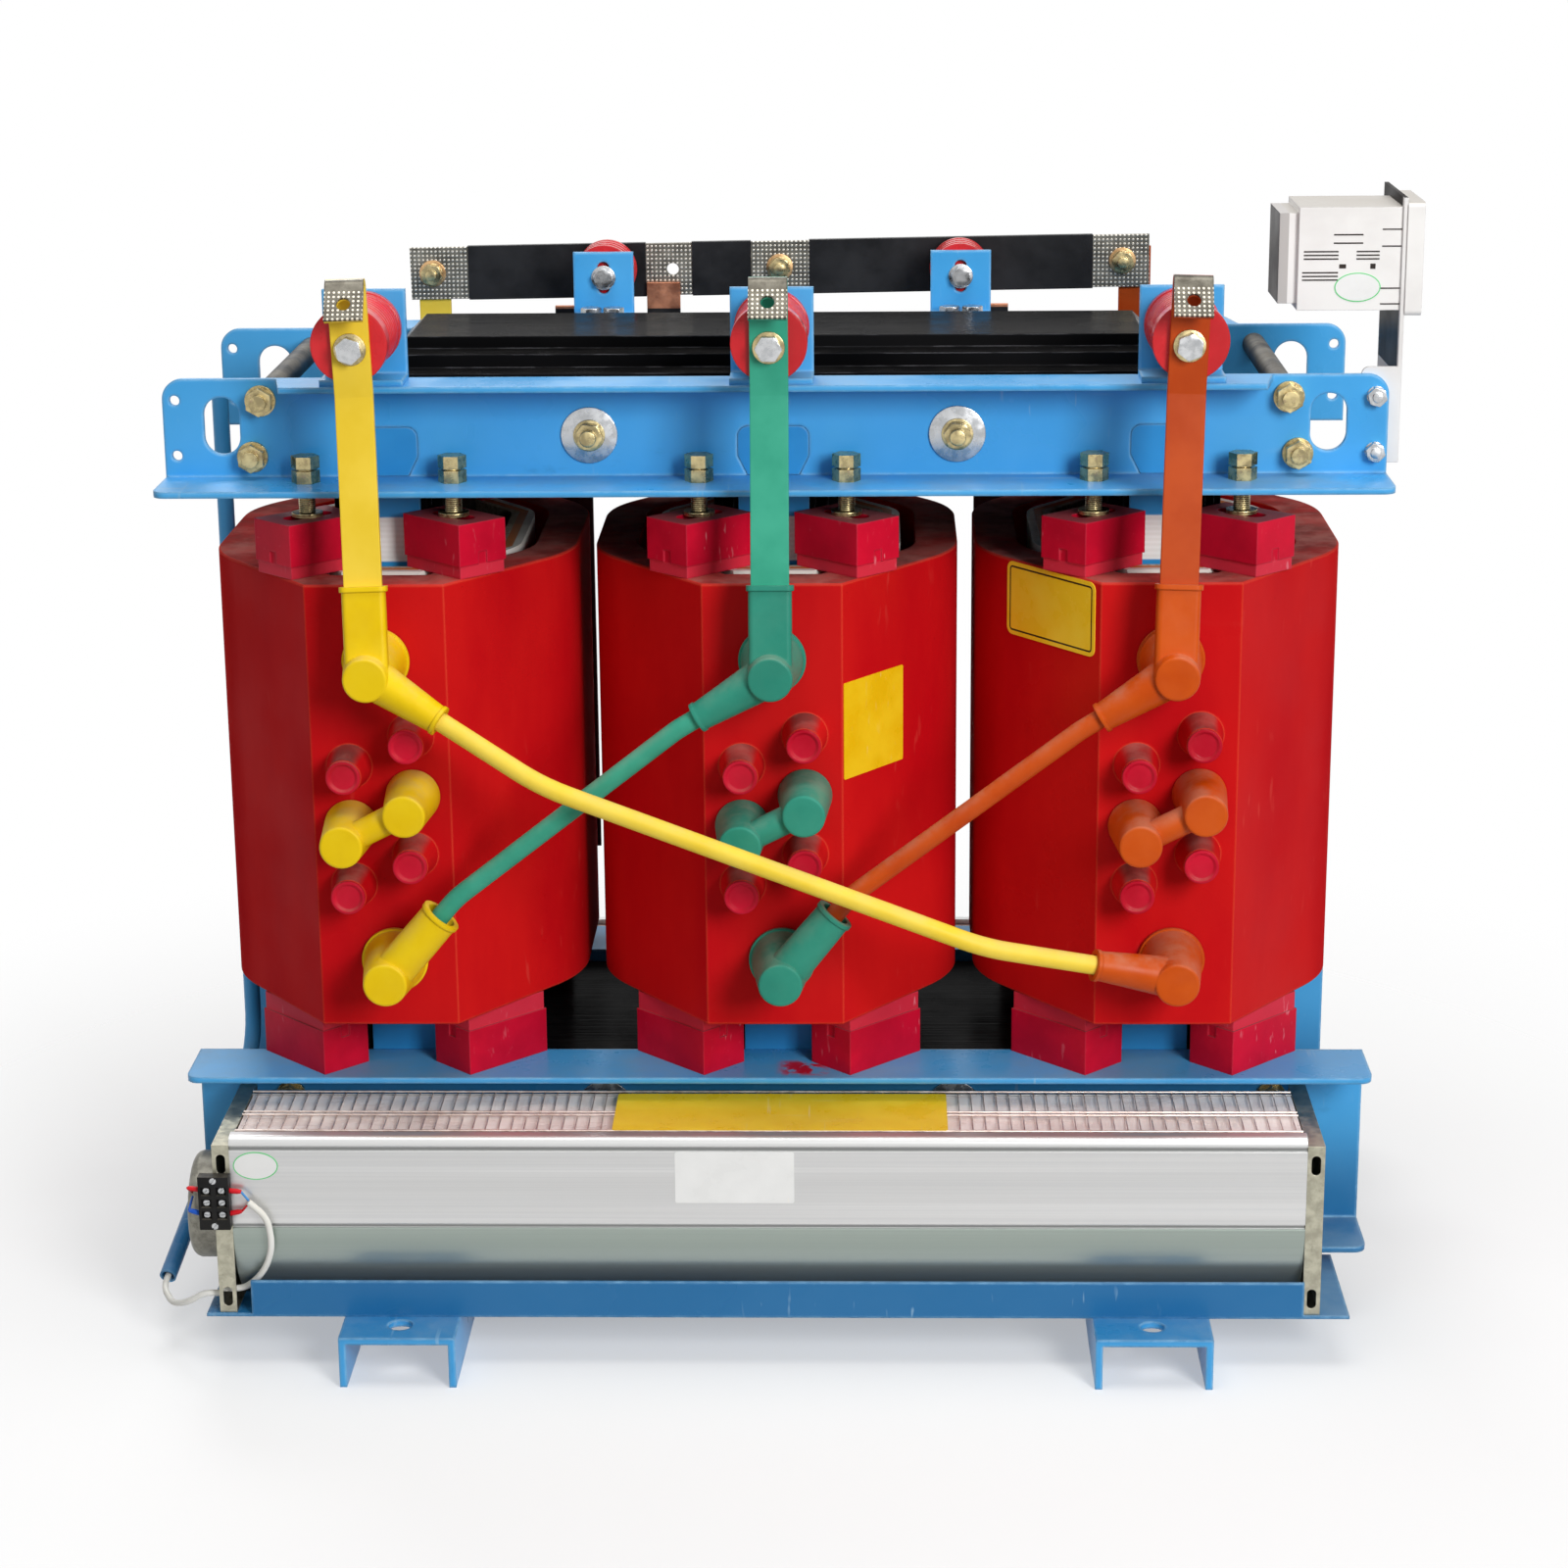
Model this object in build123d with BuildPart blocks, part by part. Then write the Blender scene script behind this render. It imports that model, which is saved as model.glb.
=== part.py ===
from build123d import *
from math import atan, degrees, radians, tan
import os

os.makedirs("parts", exist_ok=True)

# Driving sizes in millimetres. X runs along the three coils, Y from the front to the back, Z up.
# The middle coil stands on the origin and the floor is Z 0.
pitch = 380
phases = {"a": -pitch, "b": 0, "c": pitch}
sides = (-1, 1)

# Coils: race-track castings with a flat panel and two facets at each end
coil_bottom = 326
coil_top = 771
coil_half_w = 181
coil_half_d = 260
flat_half = 67
facet_angle = 53
side_round = 131
hv_wall = 42
duct = 15
lv_wall = 24
coil_edge = 1.5

# Clamps: folded channels pressed on the core from the front and the back
plate = 6
web_face = 163
web_back = web_face - plate
clamp_half = 592
flange_y = 240
upper_flange = 851
upper_top = 953
top_flange_y = 215
top_flange_half = 470
flange_slant = 10
lower_bottom = 75
lower_top = 262
corner = 20
flange_corner = 13
slot_x = 535
slot_z = 907
slot_w = 35
slot_h = 56
rod_r = 8
rod_end = 22
hole_gap = 0.2
rod_places = ((496, 932), (506, 877))
low_rod_places = ((500, 215), (500, 135))
end_hole_x = 580
end_hole_z = (932, 878)
end_hole_r = 5

# Core: three stepped packets, the middle one the tallest
limb_steps = ((77, 62, 980, 362), (115, 52, 968, 374), (web_back - plate, 40, 955, 387))
yoke_half = 442
yoke_slope_z = 900
yoke_low = 250
yoke_drop = (120, 132, 145)
strap_half = 34.5
strap_low = 150
strap_gap = 0.3
strap_head = 905
strap_shoulder = 876
strap_neck = 25
strap_round = 10

# Press blocks and bolts
bolt_x = 71
bolt_y = 190
block_len = 86
block_wid = 57
block_top = 824
low_block_len = 100
low_block_wid = 55
low_block_x = 89
low_block_y = 177
block_inset = 1.5
top_pad_h = 12
low_pad_h = 18
tongue_w = 10
tongue_h = 12
block_slot = (54, 20, 15)
washer_r = 15
washer_t = 4
nut_r = 13.8
nut_h = 12

# Feet and fans
foot_x = 368
foot_half = 57
foot_half_len = 398
foot_h = 52
foot_t = 7
foot_hole_inset = 31
foot_hole_r = 12
pad_y = (163, 195)
fan_front = 345
fan_back = 178
fan_top = 232
fan_step_y = 246
fan_step_z = 88
fan_cx = -8
fan_half = 541
fan_end_t = 17
fan_sheet = 2
fan_slot = (20, 9)
fan_slot_z = (212, 72)
fan_rear = 205
fan_groove_z = 145
groove_h = 5
groove_d = 1.8
bead_r = 8
housing_t = 4
scroll_mid = (9, 100)
scroll_end = (36, 66)
tray_t = 3
tray_lip_z = 90
tray_over = 21
lip_cut = 24
rotor_y = 272
rotor_z = 150
rotor_r = 46
blades = 20
shaft_r = 5
motor_z = 146
motor_y = 285
motor_r = 53
motor_h = 30
motor_round = 9
strip_z = (148, 203)
strip_half = 15
strip_t = 12

# High voltage leads
post_x = 391
post_z = 1003
post_back = 170
post_front = 277
post_plate = (80, 87)
post_foot = 40
bar_w = 36
tab_hole_r = 6.5
tab_drop = 31.2
tab_reach = (33, 44)
bar_t = 6
bar_over = 72
bar_low_y = 322
bar_straight = 120
boss_r = 22
boss_taper = 7
boss_h = 40
boss_x = 30.5
tap_rows = (622, 562, 502)
tap_step = 30.5
term_z = 697
low_term_z = 395
low_term_x = 7
boot_r = 21
boot_front = 342
boot_base_r = 31
boot_gap = 2
stud_r = 24
stud_h = 12
link_base_r = 26.5
link_front_r = 20.5
link_front = 336
soft = 2.5
rim_over = 1.5
rim_t = 4
mouth_deep = 7
sleeve_up = 64
link_tube_r = 13.5
tube_r = 9.2
tube_lead = 30
long_bend = 200
short_bend = 100
cap_r = 16.5
cap_t = 4
post_r = 36
post_rib = 35
post_core = 30.5
ribs = 8
rib_pitch = 9.5

# Neutral bar, low voltage bars and controller
neutral_y = 285
neutral_x = 190
neutral_z = 998
neutral_half = 400
neutral_tall = 56
neutral_rise = 0.0135
neutral_cx = -5
neutral_hole = -115
sleeve_t = 1
sleeves = ((-342, -149), (-99, -35), (28, 334))
foot_deep = 45
neutral_plate = (64, 71)
neutral_post_r = 32
lead_half = 17
lead_turn_z = 796
lead_top = 1018
lv_turn_z = 303
lv_bar_y = 281
lv_bar_z = 345
lv_bar_half = 18
lv_flag = 40
lv_tops = {"a": 958, "b": 983, "c": 958}
lv_offsets = {"a": 150, "b": -130, "c": -155}
meter_x = 600
meter_y = -107
meter_z = 1062
meter_sheet = 4
meter_low = 866
meter_tall = 254
meter_deep = 135
tongue_edge = 14
case_len = 98
case_wide = 94
case_tall = 98
lid_len = 18
lid_inset = 6
bezel_t = 16
bezel_over = 5
bezel_deep = 3
conduit_r = 8.5
conduit_bore = 6.8
conduit_rise = 723
mouth_past_clamp = 25.4
mouth_past_pan = 68.4
mouth_y = -262
mouth_z = 56
cable_r = 3.2

# The coil's outline seen from above, then the same outline drawn inwards for each layer
facet_end = coil_half_d - (coil_half_w - flat_half) * tan(radians(facet_angle))
with BuildSketch() as track:
    with BuildLine():
        Polyline((-flat_half, -coil_half_d), (flat_half, -coil_half_d), (coil_half_w, -facet_end),
                 (coil_half_w, facet_end), (flat_half, coil_half_d), (-flat_half, coil_half_d),
                 (-coil_half_w, facet_end), (-coil_half_w, -facet_end), close=True)
    make_face()
    fillet([v for v in track.vertices() if abs(v.X) > flat_half + 1], side_round)
hv_inside = offset(track.sketch, -hv_wall)
lv_outside = offset(track.sketch, -hv_wall - duct)
lv_inside = offset(track.sketch, -hv_wall - duct - lv_wall)

# The core: stepped limbs between a lower and an upper yoke
with BuildPart() as core_limbs:
    for x in phases.values():
        for half_y, half_x, top, length in limb_steps:
            with Locations((x, 0, yoke_low)):
                Box(2 * half_x, 2 * half_y, upper_flange - yoke_low,
                    align=(Align.CENTER, Align.CENTER, Align.MIN))
core_limbs.part.label = "core_limbs"
export_step(core_limbs.part, "parts/core_limbs.step")

with BuildPart() as upper_yoke:
    for half_y, half_x, top, length in limb_steps:
        with BuildSketch(Plane.XZ.offset(-half_y)):
            with BuildLine():
                Polyline((-yoke_half, upper_flange), (yoke_half, upper_flange), (yoke_half, yoke_slope_z),
                         (length, top), (-length, top), (-yoke_half, yoke_slope_z), close=True)
            make_face()
        extrude(amount=2 * half_y)
upper_yoke.part.label = "upper_yoke"
export_step(upper_yoke.part, "parts/upper_yoke.step")

with BuildPart() as lower_yoke:
    for (half_y, half_x, top, length), low in zip(limb_steps, yoke_drop):
        with Locations((0, 0, low)):
            Box(2 * yoke_half, 2 * half_y, yoke_low - low, align=(Align.CENTER, Align.CENTER, Align.MIN))
lower_yoke.part.label = "lower_yoke"
export_step(lower_yoke.part, "parts/lower_yoke.step")

# The straps in front of and behind each limb hang the lower clamps from the upper ones by a hooked head
def head_outline(x, s, grow):
    wide, neck = strap_half + grow, strap_neck + grow
    return ((x - neck, -s * (upper_flange + plate + strap_gap - grow)), (x - wide, -s * strap_shoulder),
            (x - wide, -s * (strap_head + grow)), (x + wide, -s * (strap_head + grow)),
            (x + wide, -s * strap_shoulder), (x + neck, -s * (upper_flange + plate + strap_gap - grow)))


with BuildPart() as pull_plates:
    for x in phases.values():
        for s in sides:
            with Locations((x, s * (web_back - plate / 2), strap_low)):
                Box(2 * strap_half, plate, strap_head - strap_low,
                    align=(Align.CENTER, Align.CENTER, Align.MIN))
            with BuildSketch(Plane((0, s * web_back, 0), x_dir=(1, 0, 0), z_dir=(0, s, 0))) as head:
                with BuildLine():
                    Polyline(*head_outline(x, s, 0), close=True)
                make_face()
                fillet([v for v in head.vertices() if abs(abs(v.Y) - strap_head) < 0.01], strap_round)
            extrude(amount=plate)
pull_plates.part.label = "pull_plates"
export_step(pull_plates.part, "parts/pull_plates.step")

# The coils: a red casting with its tap bosses round a wound inner coil
for phase, x in phases.items():
    with BuildPart() as hv_coil:
        with BuildSketch(Plane((x, 0, coil_bottom))):
            add(track.sketch)
            add(hv_inside, mode=Mode.SUBTRACT)
        extrude(amount=coil_top - coil_bottom)
        chamfer(hv_coil.faces().sort_by(Axis.Z)[-1].outer_wire().edges(), coil_edge)
        chamfer(hv_coil.faces().sort_by(Axis.Z)[0].outer_wire().edges(), coil_edge)
        for z in tap_rows:
            for s in sides:
                spot = Plane((x + s * boss_x, -coil_half_d, z + (s - 1) / 2 * tap_step), z_dir=(0, -1, 0))
                with BuildSketch(spot):
                    Circle(boss_r)
                extrude(amount=boss_h, taper=boss_taper)
        for dx, z in ((0, term_z), (low_term_x, low_term_z)):
            with BuildSketch(Plane((x + dx, -coil_half_d, z), z_dir=(0, -1, 0))):
                Circle(stud_r)
            extrude(amount=stud_h)
    hv_coil.part.label = f"hv_coil_{phase}"
    export_step(hv_coil.part, f"parts/hv_coil_{phase}.step")

for phase, x in phases.items():
    with BuildPart() as lv_coil:
        with BuildSketch(Plane((x, 0, coil_bottom))):
            add(lv_outside)
            add(lv_inside, mode=Mode.SUBTRACT)
        extrude(amount=coil_top - coil_bottom)
    lv_coil.part.label = f"lv_coil_{phase}"
    export_step(lv_coil.part, f"parts/lv_coil_{phase}.step")

# The upper clamps, with lifting slots at their ends
for name, s in (("front", -1), ("back", 1)):
    with BuildPart() as upper_clamp:
        with BuildSketch(Plane((0, s * web_back, 0), x_dir=(1, 0, 0), z_dir=(0, s, 0))) as web:
            with Locations((0, -s * (upper_flange + upper_top) / 2)):
                Rectangle(2 * clamp_half, upper_top - upper_flange)
            tops = [v for v in web.vertices() if abs(abs(v.Y) - upper_top) < 0.01]
            fillet(tops, corner)
            for side in sides:
                with Locations((side * slot_x, -s * slot_z)):
                    SlotOverall(slot_h, slot_w, rotation=90, mode=Mode.SUBTRACT)
                for px, pz in rod_places:
                    with Locations((side * px, -s * pz)):
                        Circle(rod_r + hole_gap, mode=Mode.SUBTRACT)
                for pz in end_hole_z:
                    with Locations((side * end_hole_x, -s * pz)):
                        Circle(end_hole_r, mode=Mode.SUBTRACT)
            for x in phases.values():
                with BuildLine():
                    Polyline(*head_outline(x, s, strap_gap), close=True)
                make_face(mode=Mode.SUBTRACT)
            cuts = [v for v in web.vertices() if abs(abs(v.Y) - strap_head - strap_gap) < 0.01]
            fillet(cuts, strap_round + strap_gap)
        extrude(amount=plate)
        with BuildSketch(Plane.XY.offset(upper_flange)) as low_flange:
            with Locations((0, s * (web_face + flange_y) / 2)):
                Rectangle(2 * clamp_half, flange_y - web_face)
            outer = [v for v in low_flange.vertices() if abs(abs(v.Y) - flange_y) < 0.01]
            fillet(outer, flange_corner)
            for x in phases.values():
                for side in sides:
                    with Locations((x + side * bolt_x, s * bolt_y)):
                        Circle(rod_r + hole_gap, mode=Mode.SUBTRACT)
        extrude(amount=plate)
        with BuildSketch(Plane.XY.offset(upper_top - plate)):
            with BuildLine():
                Polyline((-top_flange_half - flange_slant, s * web_face),
                         (top_flange_half + flange_slant, s * web_face),
                         (top_flange_half, s * top_flange_y),
                         (-top_flange_half, s * top_flange_y), close=True)
            make_face()
        extrude(amount=plate)
    upper_clamp.part.label = f"upper_clamp_{name}"
    export_step(upper_clamp.part, f"parts/upper_clamp_{name}.step")

# The lower clamps carry the coils on their top flanges and stand on the feet
for name, s in (("front", -1), ("back", 1)):
    with BuildPart() as lower_clamp:
        with BuildSketch(Plane((0, s * web_back, 0), x_dir=(1, 0, 0), z_dir=(0, s, 0))):
            with Locations((0, -s * (lower_bottom + lower_top) / 2)):
                Rectangle(2 * clamp_half, lower_top - lower_bottom)
            for side in sides:
                for px, pz in low_rod_places:
                    with Locations((side * px, -s * pz)):
                        Circle(rod_r + hole_gap, mode=Mode.SUBTRACT)
        extrude(amount=plate)
        for z in (lower_bottom, lower_top - plate):
            with BuildSketch(Plane.XY.offset(z)) as flange:
                with Locations((0, s * (web_face + flange_y) / 2)):
                    Rectangle(2 * clamp_half, flange_y - web_face)
                outer = [v for v in flange.vertices() if abs(abs(v.Y) - flange_y) < 0.01]
                fillet(outer, flange_corner)
            extrude(amount=plate)
    lower_clamp.part.label = f"lower_clamp_{name}"
    export_step(lower_clamp.part, f"parts/lower_clamp_{name}.step")

# Moulded blocks between the coils and the clamps, turned to face the corners. Each has a pad set in a
# little at the coil, with a tongue above it, and the upper ones a slot for the screw's washer
def block_spots(dx, dy, z, turn):
    return [Location((x + sx * dx, sy * dy, z), (turn, 0, 45 * sx * sy))
            for x in phases.values() for sx in sides for sy in sides]


block_h = block_top - coil_top
with BuildPart() as one_block:
    with BuildSketch():
        Rectangle(block_len - 2 * block_inset, block_wid - 2 * block_inset)
    extrude(amount=top_pad_h)
    with BuildSketch(Plane.XY.offset(top_pad_h)):
        Rectangle(block_len, block_wid)
        with Locations((-block_len / 2, 0), (block_len / 2, 0)):
            Rectangle(2 * block_inset, tongue_w, mode=Mode.SUBTRACT)
    extrude(amount=tongue_h)
    with BuildSketch(Plane.XY.offset(top_pad_h + tongue_h)):
        Rectangle(block_len, block_wid)
    extrude(amount=block_h - top_pad_h - tongue_h)
    with BuildSketch(Plane.XY.offset(block_h - block_slot[2])):
        SlotOverall(block_slot[0], block_slot[1])
    extrude(amount=block_slot[2], mode=Mode.SUBTRACT)
with BuildPart() as top_blocks:
    with Locations(*block_spots(bolt_x, bolt_y, coil_top, 0)):
        add(one_block.part)
top_blocks.part.label = "top_blocks"
export_step(top_blocks.part, "parts/top_blocks.step")

low_block_h = coil_bottom - lower_top
with BuildPart() as one_low_block:
    with BuildSketch():
        Rectangle(low_block_len - 2 * block_inset, low_block_wid - 2 * block_inset)
    extrude(amount=low_pad_h)
    with BuildSketch(Plane.XY.offset(low_pad_h)):
        Rectangle(low_block_len, low_block_wid)
        with Locations((-low_block_len / 2, 0), (low_block_len / 2, 0)):
            Rectangle(2 * block_inset, tongue_w, mode=Mode.SUBTRACT)
    extrude(amount=tongue_h)
    with BuildSketch(Plane.XY.offset(low_pad_h + tongue_h)):
        Rectangle(low_block_len, low_block_wid)
    extrude(amount=low_block_h - low_pad_h - tongue_h)
with BuildPart() as bottom_blocks:
    with Locations(*block_spots(low_block_x, low_block_y, coil_bottom, 180)):
        add(one_low_block.part)
bottom_blocks.part.label = "bottom_blocks"
export_step(bottom_blocks.part, "parts/bottom_blocks.step")

# Screws that press the coils down: washer, shank, and two hex heads above the flange
with BuildPart() as one_screw:
    with BuildSketch():
        Circle(washer_r)
    extrude(amount=washer_t)
    with BuildSketch(Plane.XY.offset(washer_t)):
        Circle(rod_r)
    extrude(amount=upper_flange + plate - block_top - washer_t)
    with BuildSketch(Plane.XY.offset(upper_flange + plate - block_top)):
        RegularPolygon(nut_r, 6)
    extrude(amount=nut_h)
    with BuildSketch(Plane.XY.offset(upper_flange + plate - block_top + nut_h)):
        Circle(rod_r)
    extrude(amount=2)
    with BuildSketch(Plane.XY.offset(upper_flange + plate - block_top + nut_h + 2)):
        RegularPolygon(nut_r, 6)
    extrude(amount=nut_h)
with BuildPart() as press_bolts:
    with Locations(*[(x + sx * bolt_x, sy * bolt_y, block_top)
                     for x in phases.values() for sx in sides for sy in sides]):
        add(one_screw.part)
press_bolts.part.label = "press_bolts"
export_step(press_bolts.part, "parts/press_bolts.step")

# Rods that pull the two clamps together past the ends of the yokes, in black sleeves
with BuildPart() as tie_rods:
    for sx in sides:
        for px, pz in rod_places + low_rod_places:
            with BuildSketch(Plane((sx * px, -web_face - rod_end, pz), z_dir=(0, 1, 0))):
                Circle(rod_r)
            extrude(amount=2 * (web_face + rod_end))
            for s in sides:
                with BuildSketch(Plane((sx * px, s * web_face, pz), z_dir=(0, s, 0))):
                    Circle(washer_r)
                extrude(amount=washer_t)
                with BuildSketch(Plane((sx * px, s * (web_face + washer_t), pz), z_dir=(0, s, 0))):
                    RegularPolygon(nut_r, 6)
                extrude(amount=nut_h)
tie_rods.part.label = "tie_rods"
export_step(tie_rods.part, "parts/tie_rods.step")

with BuildPart() as rod_sleeves:
    for sx in sides:
        for px, pz in rod_places + low_rod_places:
            with BuildSketch(Plane((sx * px, -web_back, pz), z_dir=(0, 1, 0))):
                Circle(rod_r + 4)
                Circle(rod_r + hole_gap, mode=Mode.SUBTRACT)
            extrude(amount=2 * web_back)
rod_sleeves.part.label = "rod_sleeves"
export_step(rod_sleeves.part, "parts/rod_sleeves.step")

# Feet: channels open to the floor, with a raised pad under each lower clamp
for name, x in (("left", -foot_x), ("right", foot_x)):
    with BuildPart() as foot:
        with BuildSketch(Plane.XZ.offset(-foot_half_len)):
            with Locations((x, foot_h / 2)):
                Rectangle(2 * foot_half, foot_h)
            with Locations((x, (foot_h - foot_t) / 2)):
                Rectangle(2 * (foot_half - foot_t), foot_h - foot_t, mode=Mode.SUBTRACT)
        extrude(amount=2 * foot_half_len)
        with BuildSketch(Plane.XY.offset(foot_h - foot_t)):
            with Locations((x, foot_hole_inset - foot_half_len), (x, foot_half_len - foot_hole_inset)):
                Circle(foot_hole_r)
        extrude(amount=foot_t, mode=Mode.SUBTRACT)
        for s in sides:
            with Locations((x, s * (pad_y[0] + pad_y[1]) / 2, foot_h)):
                Box(2 * foot_half, pad_y[1] - pad_y[0], lower_bottom - foot_h,
                    align=(Align.CENTER, Align.CENTER, Align.MIN))
    foot.part.label = f"foot_{name}"
    export_step(foot.part, f"parts/foot_{name}.step")

# Fans: one on a tray in front and one behind, the same piece turned about
with BuildPart() as fan_trays:
    for s in sides:
        with BuildSketch(Plane.XY.offset(foot_h)):
            with Locations((0, s * (fan_front + tray_t + pad_y[1] + 4) / 2)):
                Rectangle(2 * (fan_half + tray_over), fan_front + tray_t - pad_y[1] - 4)
        extrude(amount=tray_t)
        with Locations((0, s * (fan_front + tray_t / 2), foot_h + tray_t)):
            Box(2 * (fan_half - lip_cut), tray_t, tray_lip_z - foot_h - tray_t,
                align=(Align.CENTER, Align.CENTER, Align.MIN))
fan_trays.part.label = "fan_trays"
export_step(fan_trays.part, "parts/fan_trays.step")

# Their ends are folded pans, open towards the housing, with a slot near each end of the front strip
with BuildPart() as fan_ends:
    for s in sides:
        for side in sides:
            flip = 1 if side < 0 else -1
            edge = s * -fan_cx + side * fan_half
            for start, depth, inset, mode in ((0, fan_end_t, 0, Mode.ADD),
                                              (fan_sheet, fan_end_t - fan_sheet, fan_sheet, Mode.SUBTRACT)):
                with BuildSketch(Plane((edge - side * start, 0, 0), x_dir=(0, 1, 0), z_dir=(-side, 0, 0))):
                    with BuildLine():
                        Polyline((s * (fan_front - inset), flip * (foot_h + tray_t + inset)),
                                 (s * (fan_front - inset), flip * (fan_top - inset)),
                                 (s * (fan_back + inset), flip * (fan_top - inset)),
                                 (s * (fan_back + inset), flip * (fan_step_z + inset)),
                                 (s * (fan_step_y + inset), flip * (fan_step_z + inset)),
                                 (s * (fan_step_y + inset), flip * (foot_h + tray_t + inset)), close=True)
                    make_face()
                extrude(amount=depth, mode=mode)
            middle = edge - side * fan_end_t / 2
            with BuildSketch(Plane((middle, s * fan_front, 0), x_dir=(1, 0, 0), z_dir=(0, s, 0))):
                with Locations(*[(0, -s * z) for z in fan_slot_z]):
                    SlotOverall(*fan_slot, rotation=90)
            extrude(amount=-fan_sheet, mode=Mode.SUBTRACT)
fan_ends.part.label = "fan_ends"
export_step(fan_ends.part, "parts/fan_ends.step")

# The housings: a drawn sheet with a bead along its top edge, a groove above the scroll, and a rear wall
housing_half = fan_half - fan_end_t
with BuildPart() as fan_housings:
    for s in sides:
        with BuildSketch(Plane((s * -fan_cx - housing_half, 0, 0), x_dir=(0, 1, 0), z_dir=(1, 0, 0))):
            with BuildLine():
                rim = Line((s * (fan_front - 2 * bead_r), fan_top + bead_r),
                           (s * (fan_front - bead_r), fan_top + bead_r))
                bead = ThreePointArc(rim @ 1, (s * (fan_front - 0.3 * bead_r), fan_top + 0.7 * bead_r),
                                     (s * fan_front, fan_top))
                drop = [bead @ 1]
                for top in (fan_top - 1, fan_groove_z + groove_h):
                    drop += [(s * fan_front, top), (s * (fan_front - groove_d), top - 1),
                             (s * (fan_front - groove_d), top + 1 - groove_h),
                             (s * fan_front, top - groove_h)]
                face = Polyline(*drop)
                scroll = ThreePointArc(face @ 1, (s * (fan_front - scroll_mid[0]), scroll_mid[1]),
                                       (s * (fan_front - scroll_end[0]), scroll_end[1]))
                hem = Line(scroll @ 1, (s * (fan_front - scroll_end[0] - 2), scroll_end[1] + 3))
                back = ThreePointArc(hem @ 1, (s * (fan_front - scroll_mid[0] - 3), scroll_mid[1] + 1),
                                     (s * (fan_front - housing_t), fan_groove_z))
                inner = Line(back @ 1, (s * (fan_front - housing_t), fan_top + 2))
                lid = Line(inner @ 1, (s * (fan_front - 2 * bead_r), fan_top + 2))
                Line(lid @ 1, rim @ 0)
            make_face()
            with Locations((s * (fan_rear + fan_sheet / 2), (fan_step_z + fan_top) / 2)):
                Rectangle(fan_sheet, fan_top - fan_step_z)
        extrude(amount=2 * housing_half)
fan_housings.part.label = "fan_housings"
export_step(fan_housings.part, "parts/fan_housings.step")

# The rotors: long drums of narrow blades between end discs, on stub shafts that reach the end pans
with BuildPart() as fan_rotors:
    for s in sides:
        drum = Plane((s * -fan_cx - housing_half, s * rotor_y, rotor_z), z_dir=(1, 0, 0))
        with BuildSketch(drum):
            with PolarLocations(rotor_r - 7, blades):
                Rectangle(12, fan_sheet, rotation=30)
        extrude(amount=2 * housing_half)
        for start in (0, 2 * housing_half - fan_sheet):
            with BuildSketch(drum.offset(start)):
                Circle(rotor_r)
            extrude(amount=fan_sheet)
        for start in (fan_sheet - fan_end_t, 2 * housing_half):
            with BuildSketch(drum.offset(start)):
                Circle(shaft_r)
            extrude(amount=fan_end_t - fan_sheet)
fan_rotors.part.label = "fan_rotors"
export_step(fan_rotors.part, "parts/fan_rotors.step")

with BuildPart() as fan_motors:
    for s in sides:
        edge = s * (-fan_cx + fan_half)
        with BuildSketch(Plane((edge, s * motor_y, motor_z), z_dir=(s, 0, 0))):
            Circle(motor_r)
        extrude(amount=motor_h)
    rims = [e for e in fan_motors.edges().filter_by(GeomType.CIRCLE)
            if abs(e.center().X) > fan_half + abs(fan_cx) + motor_h - 1]
    fillet(rims, motor_round)
fan_motors.part.label = "fan_motors"
export_step(fan_motors.part, "parts/fan_motors.step")

# A terminal strip with three pairs of screw wells stands on the front strip beside each motor
strip_mid = -fan_cx + fan_half - 2
strip_h = strip_z[1] - strip_z[0]
with BuildPart() as fan_terminals:
    for s in sides:
        seat = Plane((s * strip_mid, s * fan_front, sum(strip_z) / 2), x_dir=(1, 0, 0), z_dir=(0, s, 0))
        with BuildSketch(seat):
            Rectangle(2 * strip_half, strip_h)
        extrude(amount=strip_t)
        with BuildSketch(seat.offset(strip_t)):
            with GridLocations(strip_half, strip_h / 4.4, 2, 3):
                Rectangle(strip_half * 0.66, strip_h / 6.5)
            with Locations((0, -strip_h * 0.43), (0, strip_h * 0.43)):
                Circle(2.4)
        extrude(amount=-4, mode=Mode.SUBTRACT)
fan_terminals.part.label = "fan_terminals"
export_step(fan_terminals.part, "parts/fan_terminals.step")

# High voltage posts on brackets, and the flat bars they hold
with BuildPart() as post_brackets:
    for x in (-post_x, 0, post_x):
        with Locations((x, -post_back, upper_top)):
            Box(post_plate[0], plate, post_plate[1], align=(Align.CENTER, Align.MIN, Align.MIN))
        with Locations((x, -post_back, upper_top)):
            Box(post_plate[0], post_foot, plate, align=(Align.CENTER, Align.MAX, Align.MIN))
post_brackets.part.label = "post_brackets"
export_step(post_brackets.part, "parts/post_brackets.step")

# Each post is a turned insulator: a plain band in front, thin ribs behind it and a foot ring
post_len = post_front - post_back
rib_turns = [(0, 0), (post_r, 0), (post_r, rib_pitch)]
for step in range(ribs):
    low = rib_pitch * (step + 1.2)
    rib_turns += [(post_core, low), (post_rib, low + 0.25 * rib_pitch), (post_rib, low + 0.6 * rib_pitch)]
rib_turns += [(post_core, rib_pitch * (ribs + 1.2)), (post_r, rib_pitch * (ribs + 1.5)), (post_r, post_len),
              (0, post_len)]
with BuildPart() as hv_posts:
    for x in (-post_x, 0, post_x):
        with BuildSketch(Plane((x, -post_back, post_z), x_dir=(1, 0, 0), z_dir=(0, 0, 1))):
            with BuildLine():
                Polyline(*[(r, -along) for r, along in rib_turns], close=True)
            make_face()
        revolve(axis=Axis((x, -post_back, post_z), (0, 1, 0)))
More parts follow.
